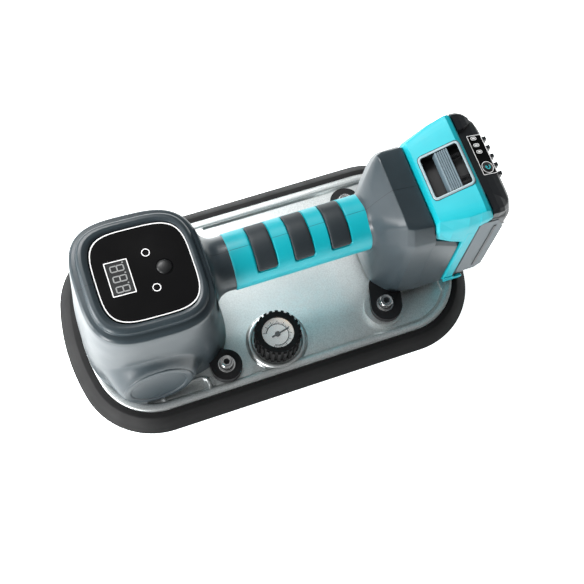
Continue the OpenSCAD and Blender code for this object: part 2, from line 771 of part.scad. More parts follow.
wire_path = concat(bend([94.5, 2, 45], [86, 2, 46], [88, 2, 73], [70, 2, 73], 6),
    bend([58, 2, 73], [20, 2, 70], [0, 2, 74], [-38, 2, 73], 6),
    bend([-46, 2, 73], [-62, 3, 78], [-88, 6, 76], [-94, 9.5, 84.5], 6));
module wire_harness() {
    color("firebrick") sweep(wire_path, 1.2);
    color("black") sweep([for (p = wire_path) p + [0, -3.4, 0.3]], 1.2);
}

// ---------- battery mount ----------
module battery_rail() {
    color([0.13, 0.13, 0.14]) difference() {
        union() {
            block(97, 101, -31.6, 31.6, 17, rail_z1 + 2);
            block(101, 104, -18, 18, rail_z0, rail_z1);
            block(104, 106.4, -22, 22, rail_z0, rail_z1);
        }
        block(96, 110, -13, 13, 30, 50);
    }
}
module terminal_block() {
    color([0.2, 0.2, 0.2]) block(94, 105, -12.9, 12.9, 30.1, 49.9);
    color("gold") for (y = [-9, -3, 3, 9]) block(105, 110.6, y - 0.4, y + 0.4, 32, 48);
}

// ---------- battery ----------
// Shells of the battery as rings: [x, half top, top, half side, shoulder, half bottom, bottom, rounding]
cap_rings = [[98 + pack_gap, 28.4, 110.2, 31.4, 105, 33.6, 98.4, 0.14], [100.2, 28.6, 115, 33, 107, 34.4, 97.6, 0.14],
    [108, 31, 118.6, 35.6, 108, 36.2, 92, 0.14], [117, 33.6, 122.4, 37.4, 112, 37.4, 86, 0.16],
    [124.2, 34.4, 125.2, pack_half_w, 114, pack_half_w, 86, 0.16]];
brow_rings = [[124.2, 34.4, 125.2, pack_half_w, 116, pack_half_w, 108.6, 0.16],
    [126.8, 34.6, 126.2, pack_half_w, 117, pack_half_w, 110.2, 0.16],
    [129.6, 34.8, 125.4, pack_half_w, 118, pack_half_w, 112, 0.16],
    [131.9, 34.6, 121.6, 37.4, 118.4, 37.4, 113.6, 0.16]];
side_rings = [[117 + pack_gap, 36, 112, 37.4, 100, 36.8, 18.6, 0.06], [119, 36, 112, pack_half_w, 100, 37.4, 18, 0.06],
    [124.2, 36, 112, pack_half_w, 100, 37.4, 18, 0.06]];
base_rings = [[124.4, 36, 108.4, 37.4, 104, 37, 19.6, 0.1], [132.2, 36, 113.2, pack_half_w, 108, 37.2, 19.4, 0.1]];
tail_rings = [[132.2, 34.6, 120.6, pack_half_w, 114, 36.6, 19.2, 0.12], [138, 34.2, 119.6, pack_half_w, 112, 36.4, 20, 0.12],
    [142.6, 32.6, 118.3, 37.4, 110, 35.4, 22.4, 0.14], [146.6, 29, 116.6, 34.8, 108, 33, 26.4, 0.16],
    [149, 25.4, 113.6, 31.6, 105, 30, 31, 0.18], [150.2, 23, 109.6, 29, 102, 27.5, 35, 0.2]];
// Raised shoulders beside the charge display: [x, inner, outer, top]
hump_rings = [[132.2, 20, 36.9, 123.2], [136.5, 21.5, 36.9, 122.4], [140.6, 23.5, 36, 120.6], [143.6, 26, 34, 118.6]];
module hump() {
    loft([for (r = hump_rings) [[r[0], r[1], 112], [r[0], r[2] + 0.2, 112], [r[0], r[2], r[3] - 2],
        [r[0], r[2] - 2, r[3]], [r[0], r[1] + 3, r[3]]]]);
}
module pack_loft(rings) {
    loft([for (r = rings) hex_from(r, 0)]);
}
// The cells with a little air round them
module cell_space() {
    for (i = [0:4]) across(cell_x, cell_z0 + i * cell_pitch, cell_r + 0.3, -33, 33);
}
latch_x1 = 21.6;
pack_screw_y = 34.4;
pack_screw_z = [40.8, 96.6];
module pack_screw_sites() {
    for (s = [-1, 1]) for (z = pack_screw_z) translate([0, s * pack_screw_y, z]) children();
}
module battery_top_case() {
    color("darkturquoise") difference() {
        union() {
            pack_loft(cap_rings);
            pack_loft(brow_rings);
            pack_loft(side_rings);
            // Shoe that rides on the rail
            block(101.6, 118, -30.8, 30.8, 18.6, 99);
        }
        // Space for the cells and the board
        block(116.4, 140, -35.4, 35.4, 20.6, 104);
        cell_space();
        // Rail slot, open at the bottom
        block(101, 104.3, -18.4, 18.4, 10, rail_z1 + 0.6);
        block(103.7, 107, -22.4, 22.4, 10, rail_z1 + 0.6);
        block(106, 117, -12, 12, 10, 52);
        // Bed of the latch
        on_slope() {
            block(3.2, 28.4, -14.4, 14.4, -9, 5);
            block(-2, 4, -6.4, 6.4, -8.4, -4.6);
        }
        pack_screw_sites() along(0, 0, 1.25, 118.5, 130);
    }
}
// Places its children on the battery's sloping face
module on_slope() {
    translate([slope_x, 0, slope_z]) rotate([0, -slope, 0]) children();
}
// Places its children on the face that carries the charge display
module on_tail() {
    translate([142.2, 4.8, 118.3]) rotate([0, 14, 0]) children();
}
module battery_base_case() {
    color([0.17, 0.18, 0.19]) difference() {
        union() {
            pack_loft(base_rings);
            pack_loft(tail_rings);
            both_sides() hump();
            // Grip ribs
            for (i = [0:4]) block(148, 152, -9.5 + i * 6.5, -7.1 + i * 6.5, 98, 112.5);
        }
        block(120, 142, -35.2, 35.2, 22.2, 103);
        block(120, 146.8, -32.8, 32.8, 31.5, 105.9);
        block(120, 143.4, -32.8, 32.8, 24, 31.6);
        cell_space();
        pack_screw_sites() {
            along(0, 0, 1.5, 120, 160);
            along(0, 0, 2.6, 143.6, 160);
        }
        // Recess for the charge display
        on_tail() {
            block(-5.4, 5.4, -14.6, 14.6, -2.2, 4);
            translate([0, -9.4, -1.9]) cylinder(r = 3.4, h = 6);
        }
    }
}
module battery_latch() {
    color("slategray") on_slope() {
        block(10.8, latch_x1, -14, 14, -8.6, -0.4);
        for (i = [0:4]) block(14.6 + i * 1.4, 15.4 + i * 1.4, -12.6, 12.6, -0.5, 0.2);
        block(0, 11, -6, 6, -8, -5);
    }
}
module latch_springs() {
    color("gray") on_slope() for (y = [-8, 8]) translate([latch_x1, y, -4.6]) rotate([0, 90, 0]) pipe(1.8, 1.2, 6.7);
}
module cells() {
    color("cornflowerblue") for (i = [0:4])
        across(cell_x, cell_z0 + i * cell_pitch, cell_r, -32.5, 32.5);
}
module cell_holders() {
    color("white") for (y = [-30, 24]) difference() {
        block(cell_x - 8, cell_x + 8, y, y + 6, 34.3, 102);
        for (i = [0:4]) across(cell_x, cell_z0 + i * cell_pitch, cell_r + 0.1, -40, 40);
    }
}
module battery_board() {
    color("darkgreen") block(118.4, 120, -26, 26, 30, 98);
    color("black") for (z = [60, 76]) block(120, 123, -14, 14, z, z + 9);
}
module battery_terminals() {
    color("gold") for (y = [-9, -3, 3, 9]) for (s = [-1, 1])
        block(107.4, 118.4, y + s * 1.1 - 0.3, y + s * 1.1 + 0.3, 33, 47);
}
module charge_display() {
    color([0.04, 0.04, 0.04]) on_tail() difference() {
        block(-5.3, 5.3, -14.5, 14.5, -2.1, 0);
        translate([0, -9.4, -3]) cylinder(r = 3.4, h = 6);
    }
}
module check_button() {
    color([0.1, 0.2, 0.2]) on_tail() translate([0, -9.4, -1.2]) cylinder(r = 3.2, h = 1.6);
}
module battery_screws() {
    color("gray") pack_screw_sites() {
        along(0, 0, 1.2, 119, 143.6);
        along(0, 0, 2.4, 143.6, 145.2);
    }
}

base_plate();
seal_ring();
inlet_filter();
mounting_feet();
foot_screws();
foot_washers();
gauge_case();
gauge_boot();
gauge_dial();
bourdon_tube();
gauge_needle();
gauge_lens();
right_housing();
left_housing();
housing_screws();
grip_shell_right();
grip_shell_left();
grip_pads();
display_panel();
display_module();
indicator_leds();
control_board();
power_button();
motor_can();
motor_magnets();
motor_end_bell();
motor_bearings();
motor_shaft();
motor_armature();
motor_windings();
eccentric();
crank_bearing();
connecting_rod();
crankcase();
diaphragm();
valve_plate();
pump_head();
pump_mounts();
vacuum_manifold();
check_valve();
release_valve();
valve_coil();
valve_plunger();
plunger_spring();
vacuum_hoses();
wire_harness();
battery_rail();
terminal_block();
battery_top_case();
battery_base_case();
battery_latch();
latch_springs();
cells();
cell_holders();
battery_board();
battery_terminals();
charge_display();
check_button();
battery_screws();
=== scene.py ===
import json
import math

import bmesh
import bpy
from mathutils import Matrix, Vector


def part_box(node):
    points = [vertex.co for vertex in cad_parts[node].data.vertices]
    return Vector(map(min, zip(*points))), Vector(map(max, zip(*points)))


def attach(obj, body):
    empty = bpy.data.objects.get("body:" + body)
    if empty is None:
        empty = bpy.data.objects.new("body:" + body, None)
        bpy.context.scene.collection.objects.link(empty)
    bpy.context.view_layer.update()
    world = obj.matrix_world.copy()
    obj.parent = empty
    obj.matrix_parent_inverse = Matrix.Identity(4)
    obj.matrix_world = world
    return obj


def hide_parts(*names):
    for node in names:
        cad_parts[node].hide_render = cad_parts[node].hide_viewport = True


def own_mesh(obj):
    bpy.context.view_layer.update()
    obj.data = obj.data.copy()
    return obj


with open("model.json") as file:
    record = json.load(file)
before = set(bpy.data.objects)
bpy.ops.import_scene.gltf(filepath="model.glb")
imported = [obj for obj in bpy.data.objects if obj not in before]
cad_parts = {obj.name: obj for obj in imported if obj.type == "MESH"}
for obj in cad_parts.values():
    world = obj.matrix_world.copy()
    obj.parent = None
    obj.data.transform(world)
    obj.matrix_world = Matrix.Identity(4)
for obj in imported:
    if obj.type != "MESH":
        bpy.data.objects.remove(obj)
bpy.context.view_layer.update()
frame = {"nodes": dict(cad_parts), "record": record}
MM = 0.001
BODY = "lifter"


def linear(rgb):
    """Linear colour of an 8-bit sRGB one."""
    def one(c):
        c /= 255
        return c / 12.92 if c <= 0.04045 else ((c + 0.055) / 1.055) ** 2.4
    return tuple(one(c) for c in rgb) + (1,)


# ---------------------------------------------------------------- materials
class Nodes:
    """A material with its shader, and short ways to add nodes."""

    def __init__(self, name, rgb, rough, metal=0.0, coat=0.0, coat_rough=0.1, gloss=0.5):
        self.mat = bpy.data.materials.new(name)
        self.mat.use_nodes = True
        self.tree = self.mat.node_tree
        self.bsdf = self.tree.nodes["Principled BSDF"]
        self.rgb = linear(rgb)
        self.bsdf.inputs["Base Color"].default_value = self.rgb
        self.bsdf.inputs["Roughness"].default_value = rough
        self.bsdf.inputs["Metallic"].default_value = metal
        self.bsdf.inputs["Coat Weight"].default_value = coat
        self.bsdf.inputs["Coat Roughness"].default_value = coat_rough
        self.bsdf.inputs["Specular IOR Level"].default_value = gloss
        self.place = self.add("ShaderNodeTexCoord").outputs["Object"]

    def add(self, kind, **values):
        node = self.tree.nodes.new(kind)
        for key, value in values.items():
            setattr(node, key, value)
        return node

    def link(self, a, b):
        self.tree.links.new(a, b)

    def noise(self, scale, detail=3.0):
        node = self.add("ShaderNodeTexNoise")
        node.inputs["Scale"].default_value = scale
        node.inputs["Detail"].default_value = detail
        self.link(self.place, node.inputs["Vector"])
        return node.outputs["Fac"]

    def ramp(self, fac, low, high, a, b):
        node = self.add("ShaderNodeMapRange")
        node.inputs["From Min"].default_value = low
        node.inputs["From Max"].default_value = high
        node.inputs["To Min"].default_value = a
        node.inputs["To Max"].default_value = b
        self.link(fac, node.inputs["Value"])
        return node.outputs["Result"]

    def mix(self, fac, a, b):
        node = self.add("ShaderNodeMix", data_type="RGBA")
        self.link(fac, node.inputs["Factor"])
        for socket, value in ((node.inputs[6], a), (node.inputs[7], b)):
            if hasattr(value, "is_output"):
                self.link(value, socket)
            else:
                socket.default_value = value
        return node.outputs[2]

    def axis(self, name):
        node = self.add("ShaderNodeSeparateXYZ")
        self.link(self.place, node.inputs[0])
        return node.outputs[name]

    def math(self, operation, a, b=None):
        node = self.add("ShaderNodeMath", operation=operation)
        for socket, value in zip(node.inputs, (a, b)):
            if value is None:
                continue
            if hasattr(value, "is_output"):
                self.link(value, socket)
            else:
                socket.default_value = value
        return node.outputs[0]

    def bump(self, height, strength, distance):
        node = self.add("ShaderNodeBump")
        node.inputs["Strength"].default_value = strength
        node.inputs["Distance"].default_value = distance
        self.link(height, node.inputs["Height"])
        self.link(node.outputs["Normal"], self.bsdf.inputs["Normal"])

    def shade(self, amount):
        """A lighter and a darker tone of the base colour."""
        dark = tuple(c * (1 - amount) for c in self.rgb[:3]) + (1,)
        light = tuple(min(1, c * (1 + amount)) for c in self.rgb[:3]) + (1,)
        return dark, light

    def vary(self, scale, amount, rough=None, spread=0.05):
        tone = self.noise(scale)
        colour = self.mix(self.ramp(tone, 0.35, 0.65, 0, 1), *self.shade(amount))
        self.link(colour, self.bsdf.inputs["Base Color"])
        if rough is not None:
            sheen = self.ramp(tone, 0.3, 0.7, rough - spread, rough + spread)
            self.link(sheen, self.bsdf.inputs["Roughness"])
        return colour


def moulded(name, rgb, rough, grain=2600, strength=0.06, coat=0.0, seam=False, amount=0.06, gloss=0.5):
    """Injection-moulded plastic: faint tone changes and a fine skin grain; seam draws the parting line."""
    n = Nodes(name, rgb, rough, coat=coat, gloss=gloss)
    colour = n.vary(38, amount, rough)
    height = n.noise(grain, 2)
    if seam:
        gap = n.math("ABSOLUTE", n.axis("Y"))
        line = n.ramp(gap, 0.00008, 0.00022, 1, 0)
        dark = tuple(c * 0.3 for c in n.rgb[:3]) + (1,)
        n.link(n.mix(line, colour, dark), n.bsdf.inputs["Base Color"])
        height = n.math("SUBTRACT", n.math("MULTIPLY", height, 0.15), line)
        n.bump(height, 0.35, 0.0002)
    else:
        n.bump(height, strength, 0.0001)
    return n.mat


def rubber(name, rgb, rough=0.62):
    """Matt rubber or foam with an uneven skin."""
    n = Nodes(name, rgb, rough, gloss=0.25)
    n.vary(60, 0.14, rough, 0.07)
    n.bump(n.noise(1500, 4), 0.16, 0.00015)
    return n.mat


def lit(mat, strength):
    """Painted light: the material gets a faint glow, so that it stays white in the shade of its well."""
    shader = mat.node_tree.nodes["Principled BSDF"]
    shader.inputs["Emission Color"].default_value = (1, 1, 1, 1)
    shader.inputs["Emission Strength"].default_value = strength
    return mat


def cast_metal(name, rgb):
    """Sand-cast light metal with a coarse sparkling skin."""
    n = Nodes(name, rgb, 0.36, metal=0.88)
    coarse = n.noise(16, 3)
    fine = n.noise(1300, 4)
    base = n.mix(n.ramp(coarse, 0.35, 0.65, 0, 1), *n.shade(0.1))
    speck = n.mix(n.ramp(fine, 0.42, 0.6, 0, 0.35), base, tuple(c * 0.55 for c in n.rgb[:3]) + (1,))
    n.link(speck, n.bsdf.inputs["Base Color"])
    n.link(n.ramp(fine, 0.3, 0.7, 0.28, 0.46), n.bsdf.inputs["Roughness"])
    n.bump(fine, 0.3, 0.00022)
    return n.mat


def metal(name, rgb, rough):
    """Turned or drawn metal, faintly mottled."""
    n = Nodes(name, rgb, rough, metal=1.0)
    n.vary(120, 0.12, rough, 0.08)
    n.bump(n.noise(900), 0.08, 0.0001)
    return n.mat


def glassy(name, rgb, rough=0.04):
    """Thin clear lens."""
    n = Nodes(name, rgb, rough)
    n.bsdf.inputs["Alpha"].default_value = 0.1
    n.link(n.ramp(n.noise(90), 0.3, 0.7, 0.02, rough + 0.03), n.bsdf.inputs["Roughness"])
    return n.mat


def floor_white():
    """White floor that glows, more so to the left, so that it lights the low sides of the body."""
    n = Nodes("floor_white", (250, 250, 250), 0.9)
    n.vary(2, 0.005)
    n.bsdf.inputs["Emission Color"].default_value = (0.94, 1, 1, 1)
    n.link(n.ramp(n.axis("X"), -0.35, 0.25, 1.75, 0.86), n.bsdf.inputs["Emission Strength"])
    return n.mat


M = {
    "body": moulded("body_grey", (47, 56, 61), 0.33, coat=0.05, seam=True, gloss=0.34),
    "teal": moulded("teal_moulding", (4, 153, 165), 0.42, seam=True, amount=0.04, gloss=0.38),
    "pack_teal": moulded("pack_teal", (4, 153, 165), 0.42, amount=0.04, gloss=0.38),
    "pad": moulded("pad_rubber", (34, 41, 45), 0.5, grain=1500, strength=0.2, gloss=0.28),
    "seal": rubber("seal_rubber", (12, 12, 13)),
    "black": moulded("black_plastic", (20, 20, 22), 0.42, grain=1400, strength=0.15, gloss=0.3),
    "panel": moulded("panel_black", (9, 9, 10), 0.16, grain=600, strength=0.01, amount=0.02, gloss=0.2),
    "mask": moulded("white_print", (250, 250, 250), 0.5, amount=0.02),
    "digit": moulded("unlit_segment", (150, 152, 152), 0.5, amount=0.08),
    "window": moulded("window_smoke", (52, 53, 54), 0.25, amount=0.08, gloss=0.2),
    "button": moulded("button_black", (24, 25, 26), 0.4, grain=1800, strength=0.05, gloss=0.4),
    "plate": cast_metal("cast_alloy", (206, 211, 211)),
    "steel": metal("screw_steel", (200, 201, 201), 0.25),
    "dark_steel": metal("motor_steel", (150, 152, 155), 0.35),
    "magnet": metal("magnet_grey", (70, 70, 73), 0.55),
    "copper": metal("copper_wire", (190, 112, 70), 0.35),
    "brass": metal("turned_brass", (196, 164, 96), 0.3),
    # painted light: the dial glows faintly so that it stays white in the shade of its well
    "dial": lit(moulded("dial_white", (248, 248, 247), 0.45, amount=0.02), 0.22),
    "needle": moulded("needle_black", (22, 22, 23), 0.4),
    "lens": glassy("gauge_lens_clear", (240, 244, 246)),
    "board": moulded("circuit_board", (20, 92, 56), 0.4, grain=500, strength=0.2, amount=0.15),
    "pump": moulded("pump_moulding", (66, 69, 73), 0.5, grain=900, strength=0.25),
    "hose": moulded("hose_clear", (214, 219, 221), 0.3, amount=0.05),
    "wire": rubber("wire_sleeve", (140, 30, 30), 0.5),
    "pack_dark": moulded("pack_dark", (25, 28, 31), 0.38, grain=900, strength=0.1, gloss=0.36),
    "latch": moulded("latch_grey", (84, 100, 108), 0.42, grain=1500, strength=0.03),
    "cell": moulded("cell_wrap", (70, 132, 150), 0.35),
    "foam": rubber("filter_foam", (222, 216, 196), 0.9),
    "led": moulded("led_lens", (196, 200, 200), 0.3, amount=0.1),
    # dark well finish: the latch pocket's lining and groove, and painted shade on the screw sockets, washer
    # gaps and latch springs
    "well": moulded("well_black_and_shade", (22, 23, 25), 0.5, gloss=0.25),
    "side": moulded("side_grey", (82, 90, 95), 0.5, grain=700, strength=0.5, amount=0.12, gloss=0.4),
    "rim": moulded("rim_grey", (128, 146, 152), 0.35),
    "teal_print": moulded("teal_print", (60, 190, 198), 0.5),
    "floor": floor_white(),
}

SLOT_LOOK = {
    "plate_alloy": "plate", "seal_rubber": "seal", "filter_foam": "foam", "black_plastic": "black",
    "screw_steel": "steel", "motor_steel": "dark_steel", "magnet": "magnet", "copper": "copper",
    "brass": "brass", "dial_white": "dial", "needle_black": "needle", "clear_lens": "lens",
    "body_grey": "body", "teal_plastic": "teal", "pad_rubber": "pad", "panel_black": "panel",
    "button_black": "button", "led_clear": "led", "circuit_board": "board", "pump_plastic": "pump",
    "hose_clear": "hose", "wire_insulation": "wire", "pack_dark": "pack_dark",
    "latch_grey": "latch", "cell_wrap": "cell",
}
OWN_LOOK = {"battery_top_case": "pack_teal"}


def dress_frame():
    """Every CAD node that stays on show gets its finish and smooth shading up to its real edges."""
    for part in frame["record"]["subparts"]:
        node = frame["nodes"][part["node"]]
        look = OWN_LOOK.get(part["node"], SLOT_LOOK[part["material_slot"]])
        node.data.materials.clear()
        node.data.materials.append(M[look])
        node.data.polygons.foreach_set("material_index", [0] * len(node.data.polygons))
        node.data.shade_smooth()
        node.data.set_sharp_from_angle(angle=math.radians(32))


# ---------------------------------------------------------------- mesh helpers
def piece(name, verts, faces, look, body=BODY, slot=None, replaces=(), smooth=40, scale=MM):
    """A mesh piece from points in millimetres, riding on a body if one is named."""
    mesh = bpy.data.meshes.new(name)
    mesh.from_pydata([[c * scale for c in v] for v in verts], [], faces)
    bm = bmesh.new()
    bm.from_mesh(mesh)
    bmesh.ops.remove_doubles(bm, verts=bm.verts, dist=1e-6)
    bmesh.ops.recalc_face_normals(bm, faces=bm.faces)
    bm.to_mesh(mesh)
    bm.free()
    mesh.materials.append(M[look])
    obj = bpy.data.objects.new(name, mesh)
    bpy.context.scene.collection.objects.link(obj)
    mesh.shade_smooth()
    mesh.set_sharp_from_angle(angle=math.radians(smooth))
    if body:
        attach(obj, body)
    if replaces:
        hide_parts(*replaces)
    return obj


def loft_data(rings, closed=False, caps=True):
    """Points and faces of a skin over rings that have the same count of points."""
    m, n = len(rings[0]), len(rings)
    verts = [p for r in rings for p in r]
    faces = []
    for i in range(n if closed else n - 1):
        a, b = i * m, (i + 1) % n * m
        for j in range(m):
            k = (j + 1) % m
            faces.append((a + j, a + k, b + k, b + j))
    if caps and not closed:
        faces.append(tuple(range(m)))
        faces.append(tuple((n - 1) * m + j for j in range(m)))
    return verts, faces


def joined(*parts):
    """Several shapes as one list of points and faces."""
    verts, faces = [], []
    for v, f in parts:
        base = len(verts)
        verts += list(v)
        faces += [tuple(i + base for i in q) for q in f]
    return verts, faces


def softened(rows, ratio, rounds=2):
    """Cuts the corners of a list of rows, so that the skin over them turns smoothly."""
    for _ in range(rounds):
        out = [rows[0]]
        for a, b in zip(rows, rows[1:]):
            out.append([x + (y - x) * ratio for x, y in zip(a, b)])
            out.append([x + (y - x) * (1 - ratio) for x, y in zip(a, b)])
        rows = out + [rows[-1]]
    return rows


def finer(rows, step, key):
    """Adds rows until neighbours are no further apart than the step."""
    out = [rows[0]]
    for a, b in zip(rows, rows[1:]):
        n = max(1, math.ceil(abs(b[key] - a[key]) / step))
        out += [[x + (y - x) * (i + 1) / n for x, y in zip(a, b)] for i in range(n)]
    return out


def spow(v, e):
    """A power that keeps the sign."""
    return math.copysign(abs(v) ** e, v)


def oval(a, b, n, count, cx=0.0, cy=0.0):
    """Points of a superellipse."""
    out = []
    for i in range(count):
        t = 2 * math.pi * (i + 0.5) / count
        out.append((cx + a * spow(math.cos(t), 2 / n), cy + b * spow(math.sin(t), 2 / n)))
    return out


def circle(r, count, cx=0.0, cy=0.0):
    """Points of a circle, the first one straight along +X."""
    turns = (2 * math.pi * k / count for k in range(count))
    return [(cx + r * math.cos(t), cy + r * math.sin(t)) for t in turns]


def round_box(hx, hy, r, steps=8):
    """Points of a rectangle with round corners."""
    out = []
    for q, (sx, sy) in enumerate(((1, 1), (-1, 1), (-1, -1), (1, -1))):
        for k in range(steps + 1):
            t = math.pi / 2 * (q + k / steps)
            out.append((sx * (hx - r) + r * math.cos(t), sy * (hy - r) + r * math.sin(t)))
    return out


def lathe(profile, count=96, closed=False):
    """Rings about Z from (radius, height) pairs."""
    rings = [[(x, y, z) for x, y in circle(r, count)] for r, z in profile]
    return loft_data(rings, closed, caps=not closed)


def moved(data, matrix):
    """The shape at another place."""
    return [tuple(matrix @ Vector(v)) for v in data[0]], data[1]


def flat_shape(outline, z0, z1):
    """An outline with a thickness."""
    return loft_data([[(x, y, z0) for x, y in outline], [(x, y, z1) for x, y in outline]])


def frame_shape(outer, inner, z0, z1):
    """A flat band between two outlines with the same count."""
    return loft_data([[(x, y, z0) for x, y in outer], [(x, y, z1) for x, y in outer],
                      [(x, y, z1) for x, y in inner], [(x, y, z0) for x, y in inner]], closed=True)


def block(x0, x1, y0, y1, z0, z1):
    """A box between two corners."""
    v = [(x, y, z) for x in (x0, x1) for y in (y0, y1) for z in (z0, z1)]
    return v, [(0, 1, 3, 2), (4, 6, 7, 5), (0, 4, 5, 1), (2, 3, 7, 6), (0, 2, 6, 4), (1, 5, 7, 3)]


def bevelled(obj, width, segments=2, angle=35):
    """Rounds the edges sharper than the angle; the width is in millimetres."""
    mod = obj.modifiers.new("bevel", "BEVEL")
    mod.width = width * MM
    mod.segments = segments
    mod.limit_method = "ANGLE"
    mod.angle_limit = math.radians(angle)
    mod.harden_normals = True
    return obj


def cut(obj, tools, operation="DIFFERENCE"):
    """Applies the boolean operation with each tool and removes the tools."""
    for tool in tools:
        mod = obj.modifiers.new("cut", "BOOLEAN")
        mod.operation = operation
        mod.object = tool
        mod.solver = "EXACT"
    bpy.context.view_layer.update()
    shaped = obj.evaluated_get(bpy.context.evaluated_depsgraph_get())
    done = bpy.data.meshes.new_from_object(shaped)
    obj.modifiers.clear()
    obj.data = done
    for tool in tools:
        bpy.data.objects.remove(tool)
    return obj


def box_mm(node):
    """Corners of a CAD node's box in millimetres."""
    low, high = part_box(node)
    return low / MM, high / MM


def soften_frame():
    """Small moulded or cast radii on the CAD nodes that stay on show."""
    radii = {"base_plate": 0.8, "battery_top_case": 0.8, "battery_base_case": 0.5, "mounting_feet": 0.7,
             "foot_screws": 0.3, "foot_washers": 0.2, "gauge_boot": 0.3}
    for name, width in radii.items():
        bevelled(frame["nodes"][name], width, angle=33)


# ---------------------------------------------------------------- measures
# The display panel: centre, tilt, half sizes and the power of its rounded outline
panel_low, panel_high = box_mm("display_panel")
HEAD_TIP = 5.9
PANEL_TILT = math.radians(HEAD_TIP)
PANEL_N = Vector((math.sin(PANEL_TILT), 0, math.cos(PANEL_TILT)))
PANEL = (panel_low + panel_high) / 2 + PANEL_N
PANEL_A, PANEL_B, PANEL_POWER = 30.9, 30.6, 3.84
WINDOW_U, WINDOW_A, WINDOW_B = -15.5, 7.1, 11.25
BUTTON_U, LAMP_U, LAMP_V = 12.5, 4.1, 12
# The grip and its three pads
grip_low, grip_high = box_mm("grip_shell_right")
GRIP_X0, GRIP_X1 = grip_low.x, grip_high.x
GRIP_Z, GRIP_R = 78.5, 18.7
PAD_W, PAD_PITCH, PAD_CORNER = 14.0, 24.9, 2.2
PAD_X = [box_mm("grip_pads")[0].x - 0.15 + PAD_W / 2 + PAD_PITCH * i for i in range(3)]
PAD_S = math.radians(61) * GRIP_R
# The motor boss and the gauge
rotor_low, rotor_high = box_mm("motor_can")
BOSS = Vector(((rotor_low.x + rotor_high.x) / 2, -52.8, 36))
BOSS_TILT = math.radians(5)
BOSS_R, BOSS_BLEND, NEAR_WALL = 23.0, 9.5, -10.0
gauge_low, gauge_high = box_mm("gauge_boot")
GAUGE = Vector(((gauge_low.x + gauge_high.x) / 2, (gauge_low.y + gauge_high.y) / 2, gauge_high.z))
# The plate: half length and width, radii of its corners and ends, floor and rim heights
HALF_L, HALF_W = box_mm("base_plate")[1].xy
CORNER_R, END_R = 40.0, 137.0
CORNER_STEPS, END_STEPS = 28, 12
FLOOR_Z, RIM_Z = 9.4, 11.6
FOOT_HEAD_R, FOOT_B_Y = 4.25, 40.5
# The battery's sloping top with the latch pocket, and its charge display
SLOPE = math.radians(22.8)
SLOPE_AT = Vector((100.2, 0, 115.4))
WELL_X, WELL_A, WELL_B, WELL_R, WELL_DEPTH = 15.8, 12.5, 14.3, 1.6, 8.8
SPRING_X, SPRING_LENGTH, SPRING_Y, SPRING_Z, LATCH_TRAVEL = 21.6, 6.7, (-8, 8), -4.6, 4.0
TAIL_TILT = math.radians(14)
TAIL_AT = Vector((142.2, 4.8, 118.3))
CHECK_V = -9.4


def on_panel(lift=0.0):
    """The place of a shape drawn flat on the display panel."""
    return Matrix.Translation(PANEL + PANEL_N * lift) @ Matrix.Rotation(PANEL_TILT, 4, "Y")


def plate_outline(d):
    """The plate's outline, grown by d."""
    cx = HALF_L - END_R
    corner_y = HALF_W - CORNER_R
    corner_x = cx + math.sqrt((END_R - CORNER_R) ** 2 - corner_y ** 2)
    turn = math.asin(corner_y / (END_R - CORNER_R))
    quarter = []
    for i in range(END_STEPS + 1):
        t = turn * i / END_STEPS
        quarter.append((cx + (END_R + d) * math.cos(t), (END_R + d) * math.sin(t)))
    for i in range(1, CORNER_STEPS + 1):
        t = turn + (math.pi / 2 - turn) * i / CORNER_STEPS
        quarter.append((corner_x + (CORNER_R + d) * math.cos(t), corner_y + (CORNER_R + d) * math.sin(t)))
    top = quarter + [(-x, y) for x, y in reversed(quarter)]
    return top + [(x, -y) for x, y in reversed(top[1:-1])]


# ---------------------------------------------------------------- base
def round_plate(profile):
    """A closed band round the plate, from (growth, height) pairs."""
    return loft_data([[(x, y, z) for x, y in plate_outline(d)] for d, z in profile], closed=True)


def seal():
    """Flared rubber lip with a thin hollow underside."""
    profile = [(0.03, 9.7), (0.25, 9.95), (4.0, 9.95), (4.55, 9.7), (8.5, 5.2), (11.9, 1.15), (12.4, 0.5),
               (12.35, 0.1), (12.0, 0), (9.2, 0), (8.9, 0.2), (4.8, 3.6), (1.2, 6.5), (0.03, 6.6)]
    piece("seal_lip", *round_plate(profile), "seal", slot="seal_rubber", replaces=["seal_ring"], smooth=35)


def rim_crown():
    """Rounded crown of the plate's rim."""
    profile = [(-0.02, 11.0), (-0.15, 11.5), (-0.7, 11.9), (-1.6, 12.05), (-4.0, 12.05), (-4.9, 11.9),
               (-5.5, 11.4), (-6.0, 10.3), (-6.5, 9.62), (-6.5, 9.0), (-0.02, 9.0)]
    piece("rim_crown", *round_plate(profile), "plate", slot="plate_alloy", smooth=50)


def gauge_seat():
    """Raised ring that the gauge stands in."""
    profile = [(17.0, 9.6), (17.0, 11.7), (17.3, 12.2), (18.0, 12.5), (19.4, 12.5), (20.2, 12.2),
               (20.7, 11.3), (21.3, 9.9), (21.8, 9.5)]
    ring = moved(lathe(profile, 96, closed=True), Matrix.Translation((GAUGE.x, GAUGE.y, 0)))
    piece("gauge_seat", *ring, "plate", slot="plate_alloy", smooth=50)


def boss_seat():
    """Raised oval ring that runs out from under the motor boss, low at its hidden end."""
    profile = [(0.6, FLOOR_Z), (0.4, 11.2), (-0.1, 11.9), (-1.0, 12.15), (-1.9, 11.9), (-2.4, 11.2),
               (-2.6, FLOOR_Z)]
    a, b, corner, fade = 17.4, 7, 6.4, 9
    x0, y0 = BOSS.x + a + 0.1, -54.6
    rings = []
    for d, z in profile:
        outline = round_box(a + d, b + d, corner + d, 12)
        rings.append([(x + x0, y + y0, FLOOR_Z + (z - FLOOR_Z) * min(1, (x + a + 0.7) / fade))
                      for x, y in outline])
    piece("boss_seat", *loft_data(rings, closed=True), "plate", slot="plate_alloy", smooth=50)


